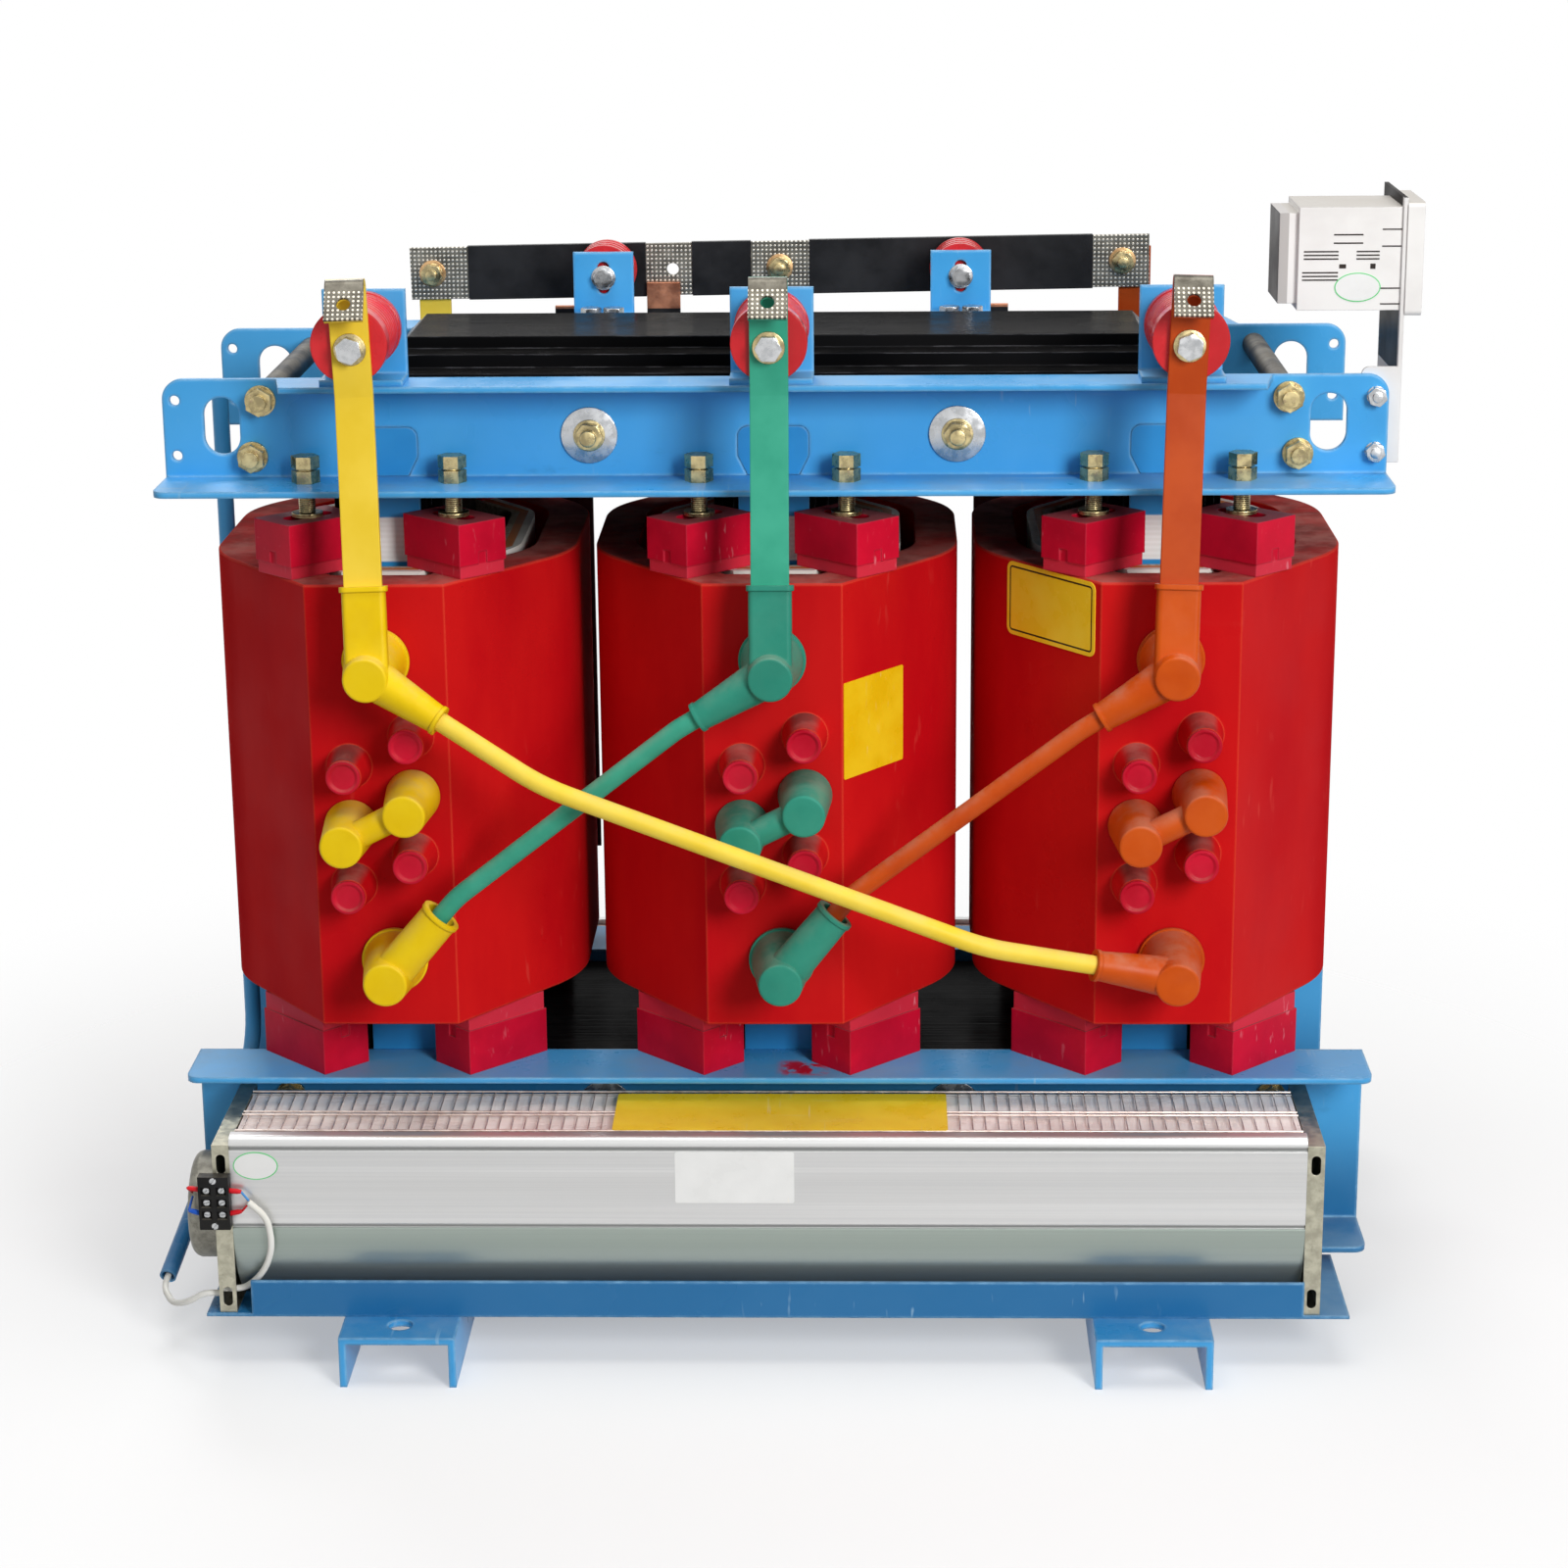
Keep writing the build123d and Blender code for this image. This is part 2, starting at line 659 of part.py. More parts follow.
hv_posts.part.label = "hv_posts"
export_step(hv_posts.part, "parts/hv_posts.step")

# The bars lean forward below the posts to reach the coil studs, and fold over to a tab at the top
lean = {"a": (-post_x, -pitch), "b": (0, 0), "c": (post_x, pitch)}
bar_low = term_z + boot_r
bar_high = post_z + bar_over
bar_y = post_front + bar_t / 2
bar_planes = {}
for phase, (top_x, low_x) in lean.items():
    up = Vector(top_x - low_x, 0, bar_high - bar_low).normalized()
    bar_planes[phase] = Plane((low_x, 0, bar_low), x_dir=(0, 1, 0), z_dir=(up.Z, 0, -up.X))
    with BuildPart() as hv_bar:
        with BuildSketch(bar_planes[phase]):
            with BuildLine():
                FilletPolyline((-bar_low_y, 0), (-bar_y, bar_high - bar_low - bar_straight),
                               (-bar_y, bar_high - bar_low),
                               (-bar_y - tab_reach[0], bar_high - bar_low - tab_reach[1]), radius=6)
            trace(line_width=bar_t)
        extrude(amount=bar_w / 2, both=True)
        tab_x = top_x + (low_x - top_x) * tab_drop / (bar_high - bar_low)
        with BuildSketch(Plane((tab_x, -bar_y - tab_drop * 0.75, bar_high - tab_drop), z_dir=(0, -0.8, 0.6))):
            Circle(tab_hole_r)
        extrude(amount=10, both=True, mode=Mode.SUBTRACT)
    hv_bar.part.label = f"hv_bar_{phase}"
    export_step(hv_bar.part, f"parts/hv_bar_{phase}.step")

# Moulded boots in the phase colours. A cup covers each coil stud, with a sleeve up the bar and an arm that
# ends in a hollow rimmed mouth for the tube. The tap link is a pair of hollow cups over two tap bosses
arm_y = -coil_half_d - 58
cup_back = -coil_half_d - boot_gap
cross_y = -boot_front - 16
knees = (Vector(-215, cross_y, 599), Vector(202, cross_y, 439))
upper_arm = {"a": knees[0] - Vector(-pitch, arm_y, term_z), "b": Vector(-71, 0, -43),
             "c": Vector(-75, 0, -47)}
lower_arm = {"a": Vector(57, 0, 67), "b": Vector(54, 0, 66),
             "c": knees[1] - Vector(pitch + low_term_x, arm_y, low_term_z)}
arm_reach = {"upper": 82, "lower": 84}
arm_sizes = {"aupper": (21, 13.5), "bupper": (21, 13.5), "cupper": (21, 13.5),
             "alower": (20, 19), "blower": (20, 18), "clower": (20.5, 14)}
ends = {}
for phase, x in phases.items():
    with BuildPart() as hv_boots:
        for level, dx, z, aim in (("upper", 0, term_z, upper_arm[phase]),
                                  ("lower", low_term_x, low_term_z, lower_arm[phase])):
            with BuildSketch(Plane((x + dx, cup_back, z), z_dir=(0, -1, 0))):
                Circle(boot_base_r)
            extrude(amount=boot_front + cup_back,
                    taper=degrees(atan((boot_base_r - boot_r) / (boot_front + cup_back))))
            with BuildSketch(Plane((x + dx, cup_back, z), z_dir=(0, -1, 0))):
                Circle(boot_base_r + rim_over)
            extrude(amount=rim_t)
            base_r, mouth_r = arm_sizes[phase + level]
            along = aim.normalized()
            start = Vector(x + dx, arm_y, z)
            mouth = start + along * arm_reach[level]
            with BuildSketch(Plane(start, z_dir=along)):
                Circle(base_r)
            extrude(amount=arm_reach[level], taper=degrees(atan((base_r - mouth_r) / arm_reach[level])))
            with BuildSketch(Plane(mouth - along * rim_t, z_dir=along)):
                Circle(mouth_r + rim_over)
            extrude(amount=rim_t)
            with BuildSketch(Plane(mouth - along * mouth_deep, z_dir=along)):
                Circle(mouth_r - rim_t)
            extrude(amount=mouth_deep, mode=Mode.SUBTRACT)
            ends[phase + level] = (mouth - along * mouth_deep, along)
        foot = bar_planes[phase].from_local_coords(Vector(-bar_low_y, 0, 0))
        top = bar_planes[phase].from_local_coords(Vector(-bar_y, bar_high - bar_low - bar_straight, 0))
        run = (top - foot).normalized()
        for low, high, grow, round_r in ((-14, sleeve_up, 2.5, 5), (sleeve_up - 5, sleeve_up, 4.5, 7)):
            with BuildSketch(Plane(foot + run * low, x_dir=bar_planes[phase].z_dir, z_dir=run)):
                RectangleRounded(bar_w + 2 * grow, bar_t + 6 + 2 * grow, round_r)
            extrude(amount=high - low)
        with BuildSketch(Plane(foot, x_dir=bar_planes[phase].z_dir, z_dir=run)):
            Rectangle(bar_w + 2 * hole_gap, bar_t + 2 * hole_gap)
        extrude(amount=sleeve_up + 10, mode=Mode.SUBTRACT)
        for dx, z in ((0, term_z), (low_term_x, low_term_z)):
            with BuildSketch(Plane((x + dx, -coil_half_d, z), z_dir=(0, -1, 0))):
                Circle(stud_r + hole_gap)
            extrude(amount=stud_h + hole_gap, mode=Mode.SUBTRACT)
        left = Vector(x - boss_x, cup_back, tap_rows[1] - tap_step)
        right = Vector(x + boss_x, cup_back, tap_rows[1])
        for place in (left, right):
            with BuildSketch(Plane(place, z_dir=(0, -1, 0))):
                Circle(link_base_r)
            extrude(amount=link_front + cup_back,
                    taper=degrees(atan((link_base_r - link_front_r) / (link_front + cup_back))))
        with BuildSketch(Plane(left + Vector(0, -53, 0), z_dir=right - left)):
            Circle(link_tube_r)
        extrude(amount=(right - left).length)
        for place in (left, right):
            with BuildSketch(Plane(place + Vector(0, boot_gap, 0), z_dir=(0, -1, 0))):
                Circle(boss_r + hole_gap)
            extrude(amount=boss_h + hole_gap, taper=boss_taper, mode=Mode.SUBTRACT)
        fronts = [e for e in hv_boots.edges().filter_by(GeomType.CIRCLE)
                  if min(abs(e.center().Y + boot_front), abs(e.center().Y + link_front)) < 0.01]
        fillet(fronts, soft)
    hv_boots.part.label = f"hv_boots_{phase}"
    export_step(hv_boots.part, f"parts/hv_boots_{phase}.step")

# The tubes that close the delta: each runs from one coil's upper boot to the next coil's lower boot
routes = {"a": ("aupper", "clower"), "b": ("bupper", "alower"), "c": ("cupper", "blower")}
for phase, (start, finish) in routes.items():
    (p0, d0), (p1, d1) = ends[start], ends[finish]
    with BuildPart() as delta_tube:
        with BuildLine():
            if phase == "a":
                FilletPolyline(p0, knees[0], knees[1], p1, radius=long_bend)
            else:
                FilletPolyline(p0, p0 + d0 * tube_lead, p1 + d1 * tube_lead, p1, radius=short_bend)
        with BuildSketch(Plane(p0, z_dir=d0)):
            Circle(tube_r)
        sweep()
    delta_tube.part.label = f"delta_tube_{phase}"
    export_step(delta_tube.part, f"parts/delta_tube_{phase}.step")

# Dished plastic caps on the four spare tap bosses of each coil
with BuildPart() as tap_caps:
    for x in phases.values():
        for z in (tap_rows[0], tap_rows[2]):
            for s in sides:
                spot = Plane((x + s * boss_x, -coil_half_d - boss_h, z + (s - 1) / 2 * tap_step),
                             z_dir=(0, -1, 0))
                with BuildSketch(spot):
                    Circle(cap_r)
                extrude(amount=cap_t)
                with BuildSketch(spot.offset(cap_t)):
                    Circle(cap_r - 2.5)
                extrude(amount=-2, taper=50, mode=Mode.SUBTRACT)
tap_caps.part.label = "tap_caps"
export_step(tap_caps.part, "parts/tap_caps.step")

# Neutral bar behind the upper yoke, on two posts with slotted brackets, and the leads that rise to it
with BuildPart() as neutral_brackets:
    for s in sides:
        with BuildSketch(Plane((s * neutral_x, top_flange_y, upper_top), x_dir=(1, 0, 0), z_dir=(0, -1, 0))):
            with Locations((0, neutral_plate[1] / 2)):
                Rectangle(*neutral_plate)
            with Locations((0, neutral_plate[1] * 0.62)):
                SlotOverall(34, 13, rotation=90, mode=Mode.SUBTRACT)
        extrude(amount=-plate)
        with Locations((s * neutral_x, top_flange_y, upper_top)):
            Box(neutral_plate[0], foot_deep, plate, align=(Align.CENTER, Align.MAX, Align.MIN))
neutral_brackets.part.label = "neutral_brackets"
export_step(neutral_brackets.part, "parts/neutral_brackets.step")

with BuildPart() as neutral_posts:
    for s in sides:
        start = top_flange_y + plate
        length = neutral_y - sleeve_t - start
        with BuildSketch(Plane((s * neutral_x, start, neutral_z), z_dir=(0, 1, 0))):
            Circle(neutral_post_r - 7)
        extrude(amount=length)
        for step in range(4):
            rib_y = start + length * (0.08 + 0.23 * step)
            with BuildSketch(Plane((s * neutral_x, rib_y, neutral_z), z_dir=(0, 1, 0))):
                Circle(neutral_post_r)
            extrude(amount=length * 0.12)
neutral_posts.part.label = "neutral_posts"
export_step(neutral_posts.part, "parts/neutral_posts.step")

# The bar is bare at its pads and sleeved between them
bar_face = Plane((neutral_cx, neutral_y, neutral_z), x_dir=(1, 0, neutral_rise), z_dir=(0, 1, 0))
with BuildPart() as neutral_bar:
    with BuildSketch(bar_face):
        Rectangle(2 * neutral_half, neutral_tall)
        with Locations((neutral_hole, 0)):
            Circle(tab_hole_r, mode=Mode.SUBTRACT)
    extrude(amount=bar_t)
    for low, high in sleeves:
        with BuildSketch(bar_face.offset(-sleeve_t)):
            with Locations(((low + high) / 2 - neutral_cx, 0)):
                Rectangle(high - low, neutral_tall + 2 * sleeve_t)
        extrude(amount=bar_t + 2 * sleeve_t)
neutral_bar.part.label = "neutral_bar"
export_step(neutral_bar.part, "parts/neutral_bar.step")

lead_y = coil_half_d - hv_wall - duct - lv_wall / 2
lead_back = neutral_y + bar_t * 1.5
for phase, x in phases.items():
    with BuildPart() as lv_lead:
        with BuildSketch(Plane((x, 0, 0), x_dir=(0, 1, 0), z_dir=(1, 0, 0))):
            with BuildLine():
                FilletPolyline((lead_y, coil_top), (lead_y, lead_turn_z), (lead_back, lead_turn_z),
                               (lead_back, lead_top), radius=8)
            trace(line_width=bar_t)
        extrude(amount=lead_half, both=True)
    lv_lead.part.label = f"lv_lead_{phase}"
    export_step(lv_lead.part, f"parts/lv_lead_{phase}.step")

# The low voltage bars: a bent strip from the foot of each inner coil to a flag and an upright bar
with BuildPart() as lv_terminals:
    for phase, x in phases.items():
        with BuildSketch(Plane((x, 0, 0), x_dir=(0, 1, 0), z_dir=(1, 0, 0))):
            with BuildLine():
                FilletPolyline((lead_y, coil_bottom), (lead_y, lv_turn_z), (lv_bar_y, lv_turn_z),
                               (lv_bar_y, lv_bar_z), radius=8)
            trace(line_width=bar_t)
        extrude(amount=lead_half, both=True)
        reach = lv_offsets[phase]
        with Locations((x + reach / 2, lv_bar_y, lv_bar_z)):
            Box(abs(reach) + 2 * lead_half, bar_t, lv_flag, align=(Align.CENTER, Align.CENTER, Align.MIN))
        with Locations((x + reach, lv_bar_y, lv_bar_z)):
            Box(2 * lv_bar_half, bar_t, lv_tops[phase] - lv_bar_z,
                align=(Align.CENTER, Align.CENTER, Align.MIN))
lv_terminals.part.label = "lv_terminals"
export_step(lv_terminals.part, "parts/lv_terminals.step")

# The temperature controller, on a folded bracket behind the right end of the front clamp
with BuildPart() as meter_bracket:
    with BuildSketch(Plane((0, -web_back, 0), x_dir=(1, 0, 0), z_dir=(0, -1, 0))) as tongue:
        with Locations((end_hole_x - tongue_edge, meter_low)):
            Rectangle(meter_x + meter_sheet - end_hole_x + tongue_edge, upper_top + 6 - meter_low,
                      align=(Align.MIN, Align.MIN))
        for z in end_hole_z:
            with Locations((end_hole_x, z)):
                Circle(end_hole_r, mode=Mode.SUBTRACT)
        fillet([v for v in tongue.vertices() if v.X < end_hole_x - end_hole_r - 1], tongue_edge / 2)
    extrude(amount=-meter_sheet)
    with Locations((meter_x, -web_back, meter_low)):
        Box(meter_sheet, meter_deep, meter_tall, align=(Align.MIN, Align.MIN, Align.MIN))
meter_bracket.part.label = "meter_bracket"
export_step(meter_bracket.part, "parts/meter_bracket.step")

with BuildPart() as meter_body:
    with Locations((meter_x, meter_y, meter_z)):
        Box(case_len, case_wide, case_tall, align=(Align.MAX, Align.CENTER, Align.CENTER))
    with Locations((meter_x - case_len, meter_y, meter_z)):
        Box(lid_len, case_wide - 2 * lid_inset, case_tall - 2 * lid_inset,
            align=(Align.MAX, Align.CENTER, Align.CENTER))
meter_body.part.label = "meter_body"
export_step(meter_body.part, "parts/meter_body.step")

with BuildPart() as meter_bezel:
    panel = Plane((meter_x + meter_sheet, meter_y, meter_z), x_dir=(0, 1, 0), z_dir=(1, 0, 0))
    with BuildSketch(panel):
        RectangleRounded(case_wide + 2 * bezel_over, case_tall + 2 * bezel_over, bezel_over)
    extrude(amount=bezel_t)
    with BuildSketch(panel.offset(bezel_t)):
        Rectangle(case_wide - 2 * bezel_over, case_tall - 2 * bezel_over)
    extrude(amount=-bezel_deep, mode=Mode.SUBTRACT)
meter_bezel.part.label = "meter_bezel"
export_step(meter_bezel.part, "parts/meter_bezel.step")

# The blue conduit: open beside the front fan, past the lower clamp's left end and up behind the first coil,
# with its mouth clear of both the clamp and the fan, whichever is longer
pan_outside = fan_cx - fan_half
conduit_mouth = Vector(min(-clamp_half - mouth_past_clamp, pan_outside - mouth_past_pan), mouth_y, mouth_z)
conduit_knee = Vector(-clamp_half + 20.2, 30, 192)
with BuildPart() as conduit:
    with BuildLine() as bend:
        FilletPolyline(conduit_mouth, conduit_knee, conduit_knee + Vector(0, 0, conduit_rise), radius=70)
    with BuildSketch(Plane(bend.wires()[0] @ 0, z_dir=bend.wires()[0] % 0)):
        Circle(conduit_r)
        Circle(conduit_bore, mode=Mode.SUBTRACT)
    sweep()
conduit.part.label = "conduit"
export_step(conduit.part, "parts/conduit.step")

# The fan's white lead: a loop from the terminal strip down behind the tray's lip to the end pan, and a
# second one from the pan into the conduit's open end
into = (conduit_knee - conduit_mouth).normalized()
lead_loops = (((pan_outside + 35, -353, 176), (pan_outside + 53, -353, 159), (pan_outside + 56, -351, 129),
               (pan_outside + 49, -346, 106), (pan_outside + 37, -339, 88), (pan_outside + 22, -332, 75),
               (pan_outside + fan_sheet, -332, 75)),
              ((pan_outside, -332, 70), (pan_outside - 17, -332, 70), (pan_outside - 37, -324, 56),
               (pan_outside - 56, -305, 46), conduit_mouth - into * 14, conduit_mouth + into * 12))


def soft_bends(points):
    spots = [Vector(*point) for point in points]
    radii = []
    for before, here, after in zip(spots, spots[1:], spots[2:]):
        turn = radians((here - before).get_angle(after - here))
        radii.append(0.45 * min((here - before).length, (after - here).length) / tan(turn / 2))
    return radii


with BuildPart() as fan_cable:
    for loop in lead_loops:
        radii = soft_bends(loop)
        print("lead bends", [round(radius) for radius in radii])
        with BuildLine() as lead:
            FilletPolyline(*loop, radius=radii)
        with BuildSketch(Plane(lead.wires()[0] @ 0, z_dir=lead.wires()[0] % 0)):
            Circle(cable_r)
        sweep()
fan_cable.part.label = "fan_cable"
export_step(fan_cable.part, "parts/fan_cable.step")
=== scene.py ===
import math

import bpy
from mathutils import Matrix, Vector


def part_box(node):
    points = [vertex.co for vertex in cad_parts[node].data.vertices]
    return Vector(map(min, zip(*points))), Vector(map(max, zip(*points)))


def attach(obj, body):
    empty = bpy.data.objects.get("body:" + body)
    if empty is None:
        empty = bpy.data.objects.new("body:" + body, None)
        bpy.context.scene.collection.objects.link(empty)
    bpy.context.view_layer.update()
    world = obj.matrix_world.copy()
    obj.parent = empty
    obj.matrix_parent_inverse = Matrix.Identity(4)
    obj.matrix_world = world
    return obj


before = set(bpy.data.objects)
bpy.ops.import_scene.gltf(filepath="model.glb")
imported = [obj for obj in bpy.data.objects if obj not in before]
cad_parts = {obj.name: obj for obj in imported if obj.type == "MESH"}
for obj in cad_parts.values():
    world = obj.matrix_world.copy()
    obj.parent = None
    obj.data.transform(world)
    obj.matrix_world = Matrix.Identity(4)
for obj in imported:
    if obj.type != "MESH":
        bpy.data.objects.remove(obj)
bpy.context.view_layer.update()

# The view: a long lens in front of the transformer, a little above its top and turned slightly left.
# Sensor and lens give the photograph's square frame with no shift.
view_data = bpy.data.cameras.new("front_view")
view_data.sensor_width = 36
view_data.lens = 79.943
front_view = bpy.data.objects.new("front_view", view_data)
bpy.context.scene.collection.objects.link(front_view)
heading, dip, lean = 0.02663, 0.28103, -0.00875
front_view.matrix_world = (Matrix.Translation((0.09627, -3.49083, 1.50586))
                           @ Matrix.Rotation(heading, 4, "Z")
                           @ Matrix.Rotation(math.pi / 2 - dip, 4, "X")
                           @ Matrix.Rotation(lean, 4, "Z"))
bpy.context.scene.camera = front_view
bpy.context.scene.view_settings.view_transform = "Standard"


# The studio: four large soft boxes, an even white surround and a pale round floor that fades into it.
# The strongest box stands to the right, so the left facets of the coils fall into shade.
def soft_box(name, place, aim, size, power):
    lamp = bpy.data.lights.new(name, "AREA")
    lamp.shape = "RECTANGLE"
    lamp.size, lamp.size_y = size
    lamp.energy = power
    stand = bpy.data.objects.new(name, lamp)
    bpy.context.scene.collection.objects.link(stand)
    turn = (Vector(aim) - Vector(place)).to_track_quat("-Z", "Y")
    stand.matrix_world = Matrix.Translation(place) @ turn.to_matrix().to_4x4()


soft_box("key_box", (2.3, -4.0, 2.5), (0.05, 0, 0.55), (1.5, 2.0), 172)
soft_box("left_box", (-3.2, -3.4, 1.8), (-0.2, 0, 0.6), (0.9, 1.8), 5)
soft_box("back_box", (-1.2, 3.6, 4.0), (0, 0.2, 0.5), (2.0, 1.4), 90)
soft_box("top_box", (0.1, -0.6, 3.6), (0, -0.1, 0.8), (2.6, 1.6), 50)


def supply(tree, node, **inputs):
    """Sets a node's inputs to values, or joins them to sockets; n0, n1 and so on go by number."""
    for key, value in inputs.items():
        by_number = key[0] == "n" and key[1:].isdigit()
        socket = node.inputs[int(key[1:])] if by_number else node.inputs[key.replace("_", " ")]
        if isinstance(value, bpy.types.NodeSocket):
            tree.links.new(value, socket)
        else:
            socket.default_value = value


def lay(tree, kind, settings=None, **inputs):
    """One node: settings are its options, inputs are values or sockets to join."""
    node = tree.nodes.new(kind)
    for key, value in (settings or {}).items():
        setattr(node, key, value)
    supply(tree, node, **inputs)
    return node


def reckon(tree, act, first, second=0.0, clamp=False):
    """One sum of two values."""
    settings = {"operation": act, "use_clamp": clamp}
    return lay(tree, "ShaderNodeMath", settings, n0=first, n1=second).outputs[0]


def remap(tree, value, low, high, to_low=0.0, to_high=1.0):
    """A value eased from one range to another."""
    return lay(tree, "ShaderNodeMapRange", {"interpolation_type": "SMOOTHSTEP"}, Value=value, From_Min=low,
               From_Max=high, To_Min=to_low, To_Max=to_high).outputs["Result"]


def spot_of(tree):
    """The place on the piece."""
    return lay(tree, "ShaderNodeTexCoord").outputs["Object"]


world = bpy.data.worlds.new("studio")
bpy.context.scene.world = world
world.use_nodes = True
tree = world.node_tree
tree.nodes.clear()
rays = lay(tree, "ShaderNodeLightPath").outputs
seen = reckon(tree, "MAXIMUM", rays["Is Camera Ray"], rays["Is Glossy Ray"])
seen = reckon(tree, "MAXIMUM", seen, rays["Is Transmission Ray"])
surround = lay(tree, "ShaderNodeBackground", None, Color=(1, 1, 1, 1), Strength=0.24).outputs[0]
white = lay(tree, "ShaderNodeBackground", None, Color=(1, 1, 1, 1), Strength=1.0).outputs[0]
either = lay(tree, "ShaderNodeMixShader", None, n0=seen, n1=surround, n2=white).outputs[0]
lay(tree, "ShaderNodeOutputWorld", None, Surface=either)

bpy.ops.object.select_all(action="DESELECT")
bpy.ops.mesh.primitive_circle_add(vertices=96, radius=4, fill_type="NGON", location=(0, 0, 0))
floor = bpy.context.object
floor.name = "floor"
pale = bpy.data.materials.new("pale_floor")
pale.use_nodes = True
tree = pale.node_tree
tree.nodes.clear()
reach = lay(tree, "ShaderNodeVectorMath", {"operation": "LENGTH"}, n0=spot_of(tree)).outputs["Value"]
chalk = lay(tree, "ShaderNodeBsdfDiffuse", None, Color=(0.92, 0.92, 0.92, 1)).outputs[0]
clear = lay(tree, "ShaderNodeBsdfTransparent").outputs[0]
ground = lay(tree, "ShaderNodeMixShader", None, n0=remap(tree, reach, 0.6, 1.5, 0.4), n1=chalk, n2=clear)
lay(tree, "ShaderNodeOutputMaterial", None, Surface=ground.outputs[0])
floor.data.materials.append(pale)


# The core: thin silicon steel sheets stacked from front to back, cut in steps and brushed with black
# lacquer, which runs between the sheet edges and dries dark, with little dust. The thin glints along the
# steps are painted in as light grey broken lines, a painted highlight.
def tint(red, green, blue):
    """Linear colour of a shade given as it looks, in 8 bits."""
    return tuple(c / 3295 if c < 11 else ((c / 255 + 0.055) / 1.055) ** 2.4
                 for c in (red, green, blue)) + (1,)


def times(tree, first, *others):
    """The product of several values."""
    for other in others:
        first = reckon(tree, "MULTIPLY", first, other)
    return first


def between(tree, share, first, second):
    """Two shades mixed by a share."""
    return lay(tree, "ShaderNodeMix", {"data_type": "RGBA"}, n0=share, n6=first, n7=second).outputs[2]


def over(tree, shade, *coats):
    """Coats laid over a shade one after the other, each a mask and a colour."""
    for mask, colour in coats:
        shade = between(tree, mask, shade, colour)
    return shade


def mottle(tree, where, scale, detail=3.0, rough=0.55):
    """A cloudy pattern."""
    return lay(tree, "ShaderNodeTexNoise", None, Vector=where, Scale=scale, Detail=detail,
               Roughness=rough).outputs["Fac"]


def stretched(tree, scale, turn=(0, 0, 0)):
    """The place on the piece, stretched and turned to lay a pattern along it."""
    return lay(tree, "ShaderNodeMapping", None, Vector=spot_of(tree), Rotation=turn,
               Scale=scale).outputs["Vector"]


def faced(tree, axis="Z"):
    """How far a face looks along an axis, from -1 to 1."""
    way = lay(tree, "ShaderNodeNewGeometry").outputs["Normal"]
    return lay(tree, "ShaderNodeSeparateXYZ", None, Vector=way).outputs[axis]


def relief(tree, height, strength, distance, edge=None):
    """The bump of a surface, laid on its broken edges where it has them."""
    bump = lay(tree, "ShaderNodeBump", None, Height=height, Strength=strength, Distance=distance)
    if edge is not None:
        supply(tree, bump, Normal=edge["Normal"])
    return bump.outputs[0]


def new_finish(name):
    finish = bpy.data.materials.new(name)
    finish.use_nodes = True
    tree = finish.node_tree
    tree.nodes.clear()
    skin = tree.nodes.new("ShaderNodeBsdfPrincipled")
    lay(tree, "ShaderNodeOutputMaterial", None, Surface=skin.outputs[0])
    return finish, tree, skin


def dress(finish, *names):
    for name in names:
        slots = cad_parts[name].data.materials
        if not len(slots):
            slots.append(finish)
        for i in range(len(slots)):
            slots[i] = finish


def shared_group(name, inputs, outputs):
    """A shader node group with its sockets and its two ends."""
    group = bpy.data.node_groups.new(name, "ShaderNodeTree")
    for title, kind, value in inputs:
        group.interface.new_socket(title, in_out="INPUT", socket_type=kind).default_value = value
    for title, kind in outputs:
        group.interface.new_socket(title, in_out="OUTPUT", socket_type=kind)
    return group, group.nodes.new("NodeGroupInput"), group.nodes.new("NodeGroupOutput")


def effect(tree, group, **inputs):
    node = tree.nodes.new("ShaderNodeGroup")
    node.node_tree = group
    supply(tree, node, **inputs)
    return node.outputs


# Broken edges: every sheet, plate and moulding has its hard edges taken off a little, so each edge catches
# a thin light. The group gives the rounded normal and a mask of where the edge is.
broken_edge, ins, outs = shared_group("broken_edge", [("Radius", "NodeSocketFloat", 0.0015)],
                                      [("Normal", "NodeSocketVector"), ("Edge", "NodeSocketFloat")])
rounded = lay(broken_edge, "ShaderNodeBevel", {"samples": 4}, Radius=ins.outputs["Radius"]).outputs[0]
flat_way = lay(broken_edge, "ShaderNodeNewGeometry").outputs["Normal"]
facing = lay(broken_edge, "ShaderNodeVectorMath", {"operation": "DOT_PRODUCT"}, n0=rounded, n1=flat_way)
supply(broken_edge, outs, Normal=rounded, Edge=remap(broken_edge, facing.outputs["Value"], 0.999, 0.86))

# Settled dust: workshop dust on faces that look up, thicker in patches and thin on the sides. The group
# gives a mask that each finish colours for itself.
settled_dust, ins, outs = shared_group(
    "settled_dust", [("Scale", "NodeSocketFloat", 9.0), ("Amount", "NodeSocketFloat", 0.5)],
    [("Dust", "NodeSocketFloat")])
patches = mottle(settled_dust, spot_of(settled_dust), ins.outputs["Scale"], 6.0, 0.68)
level = remap(settled_dust, faced(settled_dust), 0.1, 1.0, 0.06, 1.0)
fallen = times(settled_dust, remap(settled_dust, patches, 0.36, 0.66), level)
supply(settled_dust, outs, Dust=reckon(settled_dust, "MULTIPLY", fallen, ins.outputs["Amount"], True))

